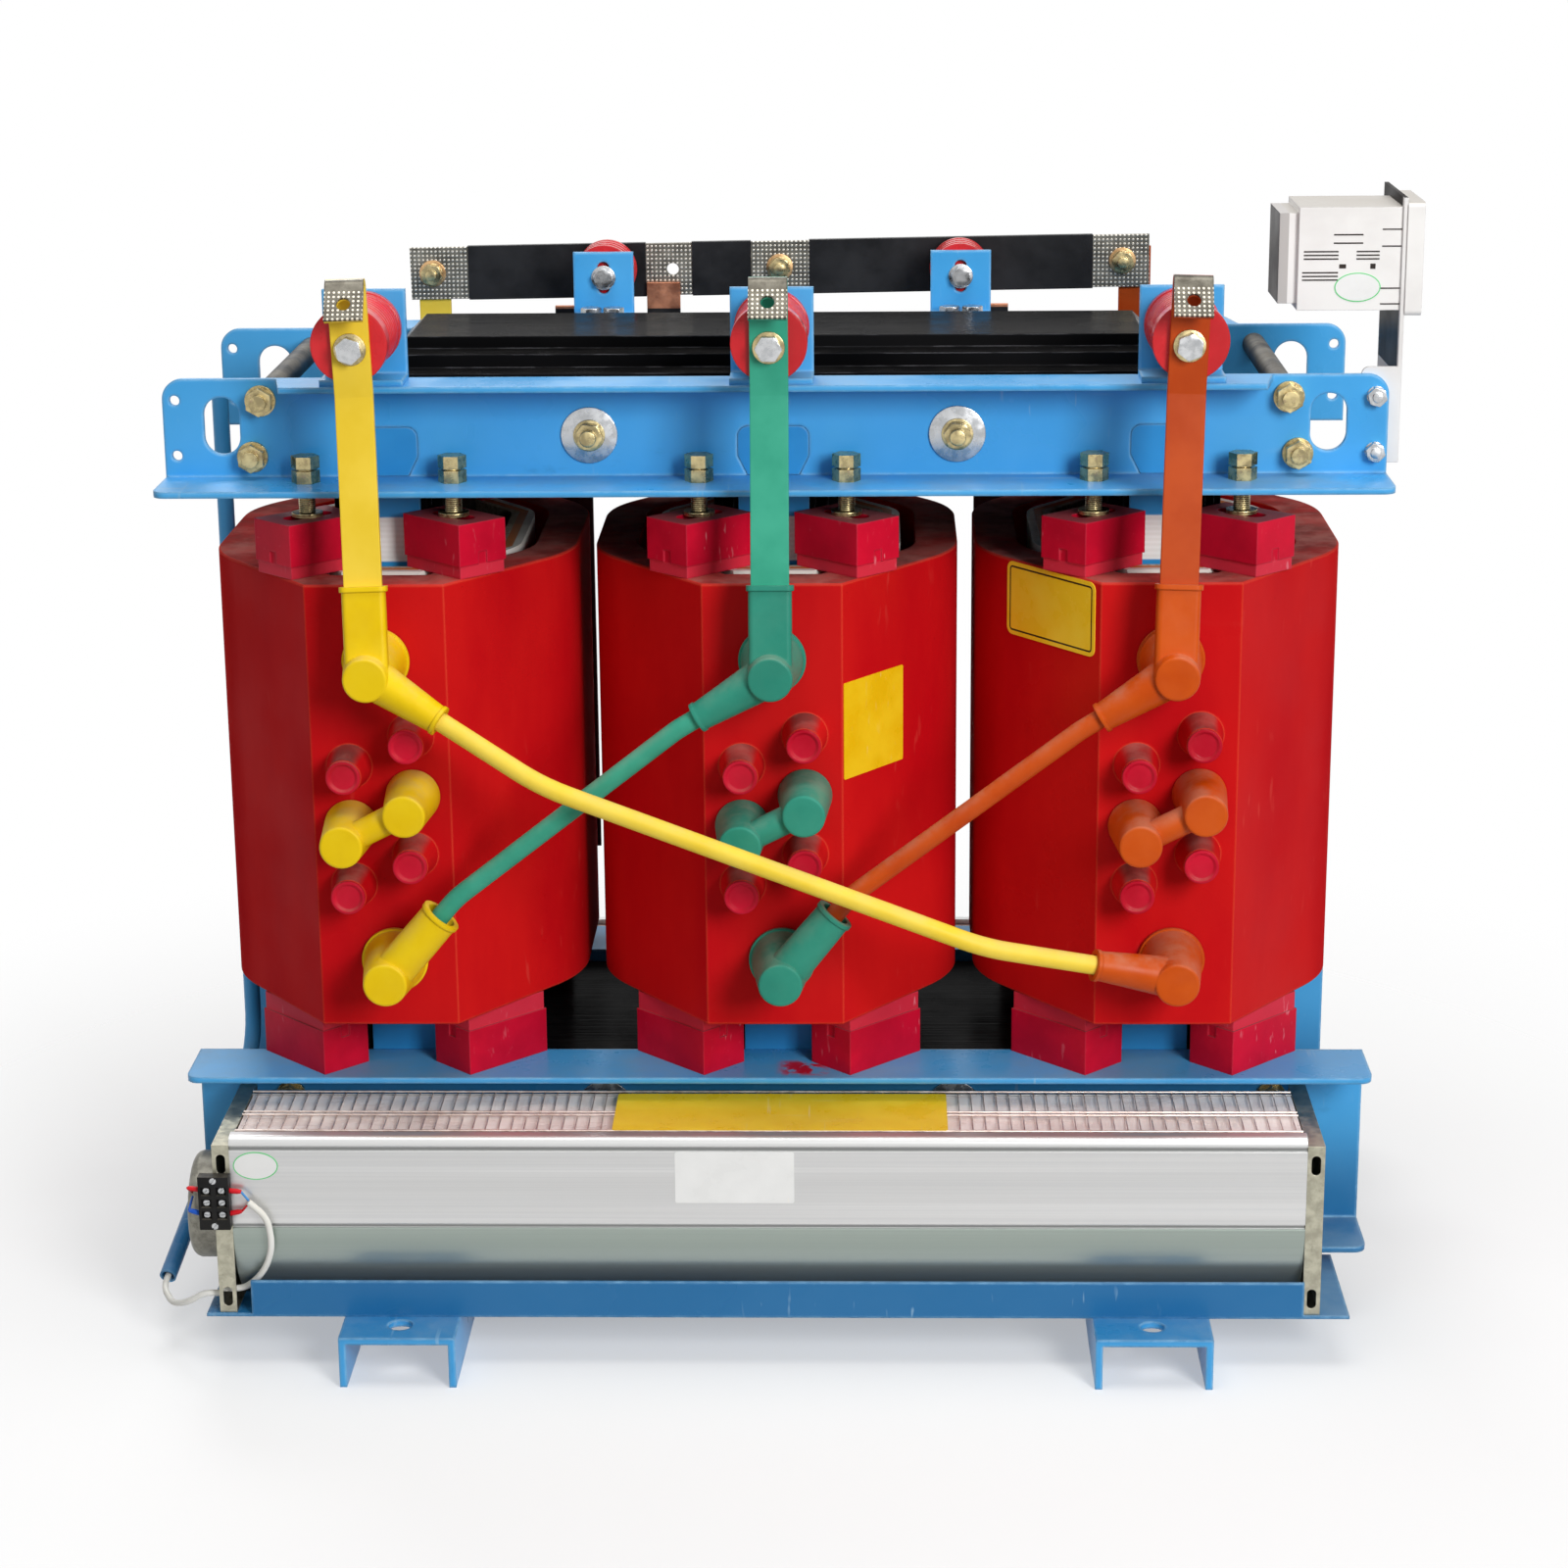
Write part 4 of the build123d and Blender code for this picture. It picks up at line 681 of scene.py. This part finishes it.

# The fan housings: drawn aluminium channels, bright, with fine lines along their length, and the same
# metal for the bladed rotors inside. Below the lower groove the belly is painted greener and darker, a
# painted reflection of the blue tray and painted shade, the lowest part is painted lighter again, painted
# light, and both grooves are painted as dark lines, painted shade.
drawn_aluminium, tree, skin = new_finish("drawn_aluminium")
tall = axes_of(tree)["Z"]
edge = effect(tree, broken_edge, Radius=0.0012)
lines = mottle(tree, stretched(tree, (1.2, 420, 420)), 1.0, 3.0, 0.6)
streaks = mottle(tree, stretched(tree, (0.7, 60, 60)), 1.0, 2.0, 0.5)
# Painted reflection and shade: below the lower groove the aluminium is painted greener and darker.
belly_painted_reflection = remap(tree, tall, 0.1462, 0.1452)
# Painted light: the lowest part of the housing is painted lighter again.
under = remap(tree, tall, 0.135, 0.078)
# Painted shade: both grooves are painted as dark lines.
groove_painted_shade = reckon(tree, "MAXIMUM", band(tree, tall, 0.1462, 0.1486), band(tree, tall, 0.2268, 0.2296))
shade = over(tree, clouded(tree, streaks, tint(204, 204, 203), tint(216, 216, 215)),
             (remap(tree, lines, 0.35, 0.7, 0.0, 0.35), tint(186, 187, 188)),
             (times(tree, belly_painted_reflection, 0.75), tint(130, 147, 136)), (times(tree, under, 0.6), tint(178, 186, 188)),
             (times(tree, groove_painted_shade, 0.75), tint(84, 88, 86)))
supply(tree, skin, Base_Color=shade, Metallic=0.7, Roughness=remap(tree, lines, 0.3, 0.7, 0.3, 0.42),
       Normal=relief(tree, lines, 0.12, 0.0003, edge))
dress(drawn_aluminium, "fan_housings", "fan_rotors")

# End pans and motors of the fans: folded galvanised sheet, yellowish grey with cloudy spangle, screwed to
# the ends of the housings, and a darker pressed motor can.
pan_zinc = plated_steel("pan_zinc", tint(160, 157, 140), tint(186, 183, 164), tint(138, 135, 120), 0.34)
motor_can = plated_steel("motor_can", tint(104, 102, 94), tint(140, 138, 128), tint(84, 82, 76), 0.4)
dress(pan_zinc, "fan_ends")
dress(motor_can, "fan_motors")

# The guards on the fans: thin drawn cross wires under two long ones, laid on a pale liner that lies over
# the rotor with a few shallow folds, with a strip of fine coppery mesh behind the bead.
guard_left, guard_right = -0.531, 0.515
guard_back, guard_front = -0.2062, -0.3285
guard_middle = (guard_left + guard_right) / 2
guard_long = guard_right - guard_left
wire_level, wire_r = 0.2331, 0.0007
wire_count, wire_margin = 83, 0.006
wire_zinc = plated_steel("wire_zinc", tint(214, 196, 186), tint(238, 226, 218), tint(190, 170, 160), 0.36)
both_fans = [Matrix(), Matrix.Rotation(math.pi, 4, "Z")]


def drawn_wire(radius, start, end, sides=8):
    """A straight wire with rounded ends."""
    run = Vector(end) - Vector(start)
    wire = turned_disc(radius, 0, run.length, radius * 0.4, sides)
    set_down(wire)
    wire.matrix_world = toward(start, run)
    bpy.context.view_layer.update()
    set_down(wire)
    return wire


wire_pitch = (guard_long - 2 * wire_margin) / (wire_count - 1)
wire_places = [Matrix.Translation((guard_left + wire_margin + i * wire_pitch, 0, 0))
               for i in range(wire_count)]
cross_wire = drawn_wire(wire_r, (0, guard_back, wire_level), (0, guard_front, wire_level))
guard = [spread(cross_wire, wire_places)]
for long_r, y in ((0.0011, -0.263), (0.0011, -0.271), (0.0014, guard_back - 0.002),
                  (0.0014, guard_front + 0.014)):
    level = wire_level + 0.0008 + long_r
    guard.append(drawn_wire(long_r, (guard_left, y, level), (guard_right, y, level)))
settle(spread(join(guard), both_fans), "guard_wires", "fan_zinc", wire_zinc)

liner_finish, tree, skin = new_finish("liner_finish")
clouds = mottle(tree, stretched(tree, (14, 30, 30)), 1.0, 5.0, 0.65)
streaks = mottle(tree, stretched(tree, (90, 10, 10)), 1.0, 3.0, 0.6)
shade = over(tree, clouded(tree, clouds, tint(238, 224, 218), tint(250, 244, 240)),
             (remap(tree, streaks, 0.5, 0.7, 0.0, 0.3), tint(206, 184, 176)))
supply(tree, skin, Base_Color=shade, Roughness=remap(tree, clouds, 0.3, 0.7, 0.22, 0.4),
       Normal=relief(tree, streaks, 0.3, 0.0015), Specular_IOR_Level=0.3)
liner_level = 0.2309
begin()
bpy.ops.mesh.primitive_grid_add(x_subdivisions=160, y_subdivisions=14, size=1, location=(0, 0, 0))
liner = bpy.context.object
for point in liner.data.vertices:
    u, v = point.co.x, point.co.y
    folds = 0.0011 * math.sin(41 * u + 5 * v) * math.cos(9 * v) + 0.0006 * math.sin(97 * u - 11 * v)
    point.co = (guard_middle + u * guard_long,
                (guard_back + guard_front) / 2 + v * (guard_back - guard_front - 0.004),
                liner_level + 0.7 * folds)
apply_modifier(liner, "SOLIDIFY", thickness=0.0006, offset=-1)
settle(spread(liner, both_fans), "guard_liners", "fan_aluminium", liner_finish)

mesh_finish, tree, skin = new_finish("mesh_finish")
weave = []
for turn in (0.785, -0.785):
    laid = stretched(tree, (150, 150, 1), (0, 0, turn))
    threads = lay(tree, "ShaderNodeTexWave", {"bands_direction": "X"}, Vector=laid, Scale=1.0)
    weave.append(threads.outputs["Fac"])
net = reckon(tree, "MAXIMUM", *weave)
shade = between(tree, remap(tree, net, 0.5, 0.8), tint(140, 112, 102), tint(206, 178, 166))
supply(tree, skin, Base_Color=shade, Metallic=0.5, Roughness=0.45, Normal=relief(tree, net, 0.6, 0.0005))


def flat_plate(size, thick, corner, border=0.0, ring=0.0):
    """A flat plate with rounded corners; a ring of its face, inside a border, may take the second finish."""
    begin()
    bpy.ops.mesh.primitive_plane_add(size=1, location=(0, 0, 0))
    plate = bpy.context.object
    plate.scale = (size[0], size[1], 1)
    set_down(plate)
    bpy.ops.object.mode_set(mode="EDIT")
    bpy.ops.mesh.select_all(action="SELECT")
    bpy.ops.mesh.bevel(offset=corner, offset_type="OFFSET", segments=8, affect="VERTICES")
    bpy.ops.mesh.extrude_region_move(TRANSFORM_OT_translate={"value": (0, 0, thick)})
    bpy.ops.mesh.select_all(action="SELECT")
    bpy.ops.mesh.normals_make_consistent(inside=False)
    bpy.ops.object.mode_set(mode="OBJECT")
    if not ring:
        return plate
    for inset in (border, ring):
        bpy.ops.object.mode_set(mode="EDIT")
        bpy.ops.mesh.select_mode(type="FACE")
        bpy.ops.mesh.select_all(action="DESELECT")
        bpy.ops.object.mode_set(mode="OBJECT")
        for face in plate.data.polygons:
            face.select = face.normal.z > 0.9 and len(face.vertices) > 8
        bpy.ops.object.mode_set(mode="EDIT")
        bpy.ops.mesh.inset(thickness=inset, use_even_offset=True)
        bpy.ops.object.mode_set(mode="OBJECT")
    for _ in range(2):
        plate.data.materials.append(None)
    for face in plate.data.polygons:
        if face.normal.z > 0.9 and len(face.vertices) == 4:
            inside = min(size[0] / 2 - abs(face.center.x), size[1] / 2 - abs(face.center.y))
            face.material_index = 1 if border < inside < border + ring else 0
    return plate


mesh_strip = flat_plate((guard_long, 0.007), 0.0005, 0.0005)
mesh_strip.matrix_world = Matrix.Translation((guard_middle, guard_front + 0.0042, wire_level + 0.0009))
settle(spread(mesh_strip, both_fans), "guard_mesh", "fan_zinc", mesh_finish)


# Blank plates: printed film and sheet, yellow on two coils and on the front guard, white on the front
# housing, and two white ovals with a green rim, all glued on. Their faces are left bare. The plates on the
# third coil and on the guard take a lighter copy of the yellow film, painted light.
def printed_film(name, low, high, rough=0.3):
    finish, tree, skin = new_finish(name)
    spot = spot_of(tree)
    cloud = mottle(tree, spot, 26.0, 4.0)
    scuff = effect(tree, scuffs, Scale=2.0, Amount=0.35)["Scuff"]
    supply(tree, skin, Base_Color=over(tree, clouded(tree, cloud, low, high), (scuff, tint(246, 238, 214))),
           Roughness=remap(tree, cloud, 0.3, 0.7, rough - 0.06, rough + 0.1),
           Normal=relief(tree, mottle(tree, spot, 60.0, 2.0), 0.15, 0.0008), Specular_IOR_Level=0.2)
    return finish


film_yellow = printed_film("film_yellow", tint(236, 190, 14), tint(244, 204, 30))
# Painted light: a lighter copy of the yellow film, for the plates that lie in shade.
film_yellow_painted_lit = printed_film("film_yellow_painted_lit", tint(250, 210, 40), tint(255, 222, 62))
film_white = printed_film("film_white", tint(232, 232, 230), tint(238, 238, 236))
film_green = printed_film("film_green", tint(96, 200, 122), tint(124, 216, 146))
film_dark = printed_film("film_dark", tint(38, 34, 26), tint(54, 50, 40))
fan_wall = -0.345
case_wall = -0.154


def on_face(centre, across=(1, 0, 0)):
    """The place of a plate that lies on an upright face, from a level direction in that face."""
    across, up = Vector(across).normalized(), Vector((0, 0, 1))
    turn = Matrix((across, up, across.cross(up))).transposed()
    return Matrix.Translation(centre) @ turn.to_4x4()


plate_b = flat_plate((0.095, 0.096), 0.0008, 0.002)
plate_b.matrix_world = on_face((0.0965, -0.22083, 0.6245), (facet_y, facet_x, 0))
settle(plate_b, "coil_plate_b", "phase_yellow", film_yellow)
plate_c = flat_plate((0.132, 0.073), 0.0008, 0.008, 0.004, 0.0018)
plate_c.matrix_world = on_face((0.2685, -0.20093, 0.7325), (facet_y, -facet_x, 0))
settle(plate_c, "coil_plate_c", "phase_yellow", film_yellow_painted_lit, film_dark)
strip = flat_plate((0.329, 0.098), 0.0005, 0.003)
strip.matrix_world = Matrix.Translation((0.0045, -0.2665, wire_level + 0.0031))
settle(strip, "guard_plate", "phase_yellow", film_yellow_painted_lit)
fan_plate = flat_plate((0.116, 0.053), 0.0006, 0.002)
fan_plate.matrix_world = on_face((-0.039, fan_wall, 0.199))
settle(fan_plate, "fan_plate", "meter_white", film_white)


def oval_plate(wide, high, centre, name):
    """A thin oval with a narrow coloured rim round its white face."""
    thick = 0.0004
    begin()
    bpy.ops.mesh.primitive_circle_add(vertices=64, radius=0.5, fill_type="NGON", location=(0, 0, 0))
    oval = bpy.context.object
    oval.scale = (wide, high, 1)
    set_down(oval)
    bpy.ops.object.mode_set(mode="EDIT")
    bpy.ops.mesh.select_all(action="SELECT")
    bpy.ops.mesh.extrude_region_move(TRANSFORM_OT_translate={"value": (0, 0, thick)})
    bpy.ops.mesh.inset(thickness=0.0011)
    bpy.ops.mesh.select_all(action="SELECT")
    bpy.ops.mesh.normals_make_consistent(inside=False)
    bpy.ops.object.mode_set(mode="OBJECT")
    oval.data.materials.append(film_green)
    oval.data.materials.append(film_white)
    for face in oval.data.polygons:
        face.material_index = 1 if len(face.vertices) > 8 and face.center.z > thick / 2 else 0
    oval.matrix_world = on_face(centre)
    settle(oval, name, "meter_white")


oval_plate(0.044, 0.029, (-0.5065, fan_wall, 0.2105), "fan_oval")
oval_plate(0.044, 0.028, (0.559, case_wall, 1.035), "controller_oval")

# Screws and crimps of the terminal strips: slotted zinc screws in the wells, and insulated crimp ends in
# red and blue on both sides of the front strip, each with a short stretch of its wire.
strip_x, strip_y, strip_z = -0.547, -0.357, 0.1755
crimp_y = -0.351
strip_screw = turned_disc(0.0034, 0, 0.0022, 0.0006, 20)
begin()
bpy.ops.mesh.primitive_cube_add(size=1, location=(0, 0, 0.0022))
slot_bar = bpy.context.object
slot_bar.scale = (0.008, 0.0009, 0.0016)
set_down(slot_bar)
apply_modifier(strip_screw, "BOOLEAN", operation="DIFFERENCE", object=slot_bar, solver="EXACT")
bpy.data.objects.remove(slot_bar)
wells = [toward((strip_x + dx, strip_y + 0.004, strip_z + dz), (0, -1, 0), 0.4 + 9 * dx + 30 * dz)
         for dx in (-0.0075, 0.0075) for dz in (-0.0125, 0, 0.0125)]
wells += [toward((strip_x, strip_y + 0.0015, strip_z + dz), (0, -1, 0), 0.9) for dz in (-0.02365, 0.02365)]
places = [turn @ place for turn in both_fans for place in wells]
settle(spread(strip_screw, places), "strip_screws", "fan_zinc", bright_zinc)


def crimp(name, finish, ends):
    """Crimp ends: sleeves pressed flat in the middle that open towards the wire."""
    begin()
    bpy.ops.mesh.primitive_cylinder_add(vertices=20, radius=0.0026, depth=0.012, location=(0, 0, 0.006))
    sleeve = bpy.context.object
    bpy.ops.object.mode_set(mode="EDIT")
    for cut in (0.004, 0.008):
        bpy.ops.mesh.select_all(action="SELECT")
        bpy.ops.mesh.bisect(plane_co=(0, 0, cut), plane_no=(0, 0, 1))
    bpy.ops.object.mode_set(mode="OBJECT")
    for point in sleeve.data.vertices:
        if 0.003 < point.co.z < 0.009:
            point.co.x *= 1.2
            point.co.y *= 0.55
    apply_modifier(sleeve, "BEVEL", width=0.0004, segments=2, limit_method="ANGLE")
    places = [toward((strip_x + side * 0.0145, crimp_y, strip_z + dz), (side, 0, rise))
              for side, dz, rise in ends]
    settle(spread(sleeve, places), name, "sleeve_black", finish)


crimp("crimps_red", printed_film("crimp_red", tint(196, 14, 28), tint(216, 30, 40)),
      [(-1, 0.0125, 0.15), (1, 0.0115, -0.1), (1, -0.0125, 0.2)])
crimp("crimps_blue", printed_film("crimp_blue", tint(20, 74, 176), tint(34, 96, 200)), [(-1, -0.0125, 0.3)])
cores = (("core_blue", tint(60, 130, 196), tint(84, 150, 210),
          (-0.5209, crimp_y, 0.1858), (-0.5133, -0.353, 0.1772)),
         ("core_red", tint(196, 24, 32), tint(212, 40, 44),
          (-0.5209, crimp_y, 0.1653), (-0.5133, -0.353, 0.1748)),
         ("core_blue_motor", tint(30, 84, 180), tint(46, 104, 200),
          (-0.5730, crimp_y, 0.1662), (-0.5718, -0.3355, 0.1745)),
         ("core_red_motor", tint(190, 20, 30), tint(206, 34, 40),
          (-0.5733, crimp_y, 0.1898), (-0.5718, -0.3355, 0.1785)))
for name, low, high, start, end in cores:
    sheath = printed_film(name + "_sheath", low, high)
    settle(drawn_wire(0.0012, start, end, 12), name, "sleeve_black", sheath)

# The controller: a white moulded case on a white folded bracket. The case's top faces are painted a darker
# grey beige and the left facing side of its lid near black, painted shade, and the bracket's inner side is
# painted dark, painted shade, with its top edge dark as well. The narrow vents and two small openings in the
# front wall, and the clip slot in the frame of its panel, are thin dark sheets laid on the faces, painted
# shade where the openings are.
lid_edge = 0.493
case_white, tree, skin = new_finish("case_white")
spot = spot_of(tree)
edge = effect(tree, broken_edge, Radius=0.0012)
lid = remap(tree, axes_of(tree)["X"], lid_edge + 0.0002, lid_edge - 0.0002)
# Painted shade: the left facing side of the lid is painted near black.
lid_side_painted_shade = times(tree, lid, remap(tree, faced(tree, "X"), -0.6, -0.9))
cloud = mottle(tree, spot, 16.0, 4.0)
# Painted shade: faces that look up are painted a darker grey beige.
shade = over(tree, clouded(tree, cloud, tint(228, 225, 222), tint(238, 236, 233)),
             (remap(tree, faced(tree), 0.6, 0.9), tint(184, 179, 172)), (lid, tint(184, 180, 177)),
             (lid_side_painted_shade, tint(50, 46, 45)))
supply(tree, skin, Base_Color=shade, Roughness=remap(tree, cloud, 0.3, 0.7, 0.36, 0.5),
       Normal=relief(tree, mottle(tree, spot, 500.0, 2.0), 0.1, 0.0003, edge), Specular_IOR_Level=0.2)
dress(case_white, "meter_body", "meter_bezel")
bracket_white, tree, skin = new_finish("bracket_white")
spot = spot_of(tree)
across, depth, tall = axes_of(tree)
edge = effect(tree, broken_edge, Radius=0.0012)
cloud = mottle(tree, spot, 12.0, 4.0)
# Painted shade: the bracket's inner side is painted near black. Its thin top edge takes the same dark colour.
inner_side_painted_shade = times(tree, band(tree, across, 0.5995, 0.6004, 0.0001), band(tree, depth, -0.149, -0.024),
              band(tree, tall, 0.95, 1.13))
top_edge = times(tree, remap(tree, faced(tree), 0.6, 0.9), remap(tree, tall, 1.1, 1.102))
shade = over(tree, clouded(tree, cloud, tint(222, 219, 216), tint(234, 232, 230)),
             (reckon(tree, "MAXIMUM", inner_side_painted_shade, top_edge), tint(34, 30, 29)))
supply(tree, skin, Base_Color=shade, Roughness=remap(tree, cloud, 0.3, 0.7, 0.34, 0.5),
       Normal=relief(tree, mottle(tree, spot, 380.0, 2.0), 0.1, 0.0004, edge), Specular_IOR_Level=0.02)
dress(bracket_white, "meter_bracket")
# Painted shade: the vents, openings and clip slot are thin dark sheets laid on the faces, not holes.
vent_painted_shade = printed_film("vent_painted_shade", tint(30, 24, 22), tint(46, 38, 34), 0.5)
vent_high = 0.0014
vents = [(0.535, 0.563, z, vent_high) for z in (1.085, 1.077)]
vents += [(x0, x1, z, vent_high) for x0, x1 in ((0.507, 0.540), (0.557, 0.579))
          for z in (1.069, 1.0655, 1.062)]
vents += [(0.506, 0.540, z, vent_high) for z in (1.049, 1.0455, 1.042)]
vents += [(0.581, 0.5995, z, 0.0013) for z in (1.090, 1.074, 1.034, 1.019)]
vents += [(0.541, 0.5475, 1.055, 0.004), (0.5705, 0.5755, 1.055, 0.005)]
slots = []
for x0, x1, z, high in vents:
    vent = flat_plate((x1 - x0, high), 0.0002, 0.0003)
    vent.matrix_world = on_face(((x0 + x1) / 2, case_wall, z))
    slots.append(vent)
clip = flat_plate((0.004, 0.016), 0.0002, 0.0008)
clip.matrix_world = on_face((0.6105, -0.157, 1.062))
slots.append(clip)
for slot in slots:
    set_down(slot)
settle(join(slots), "controller_vents", "sleeve_black", vent_painted_shade)
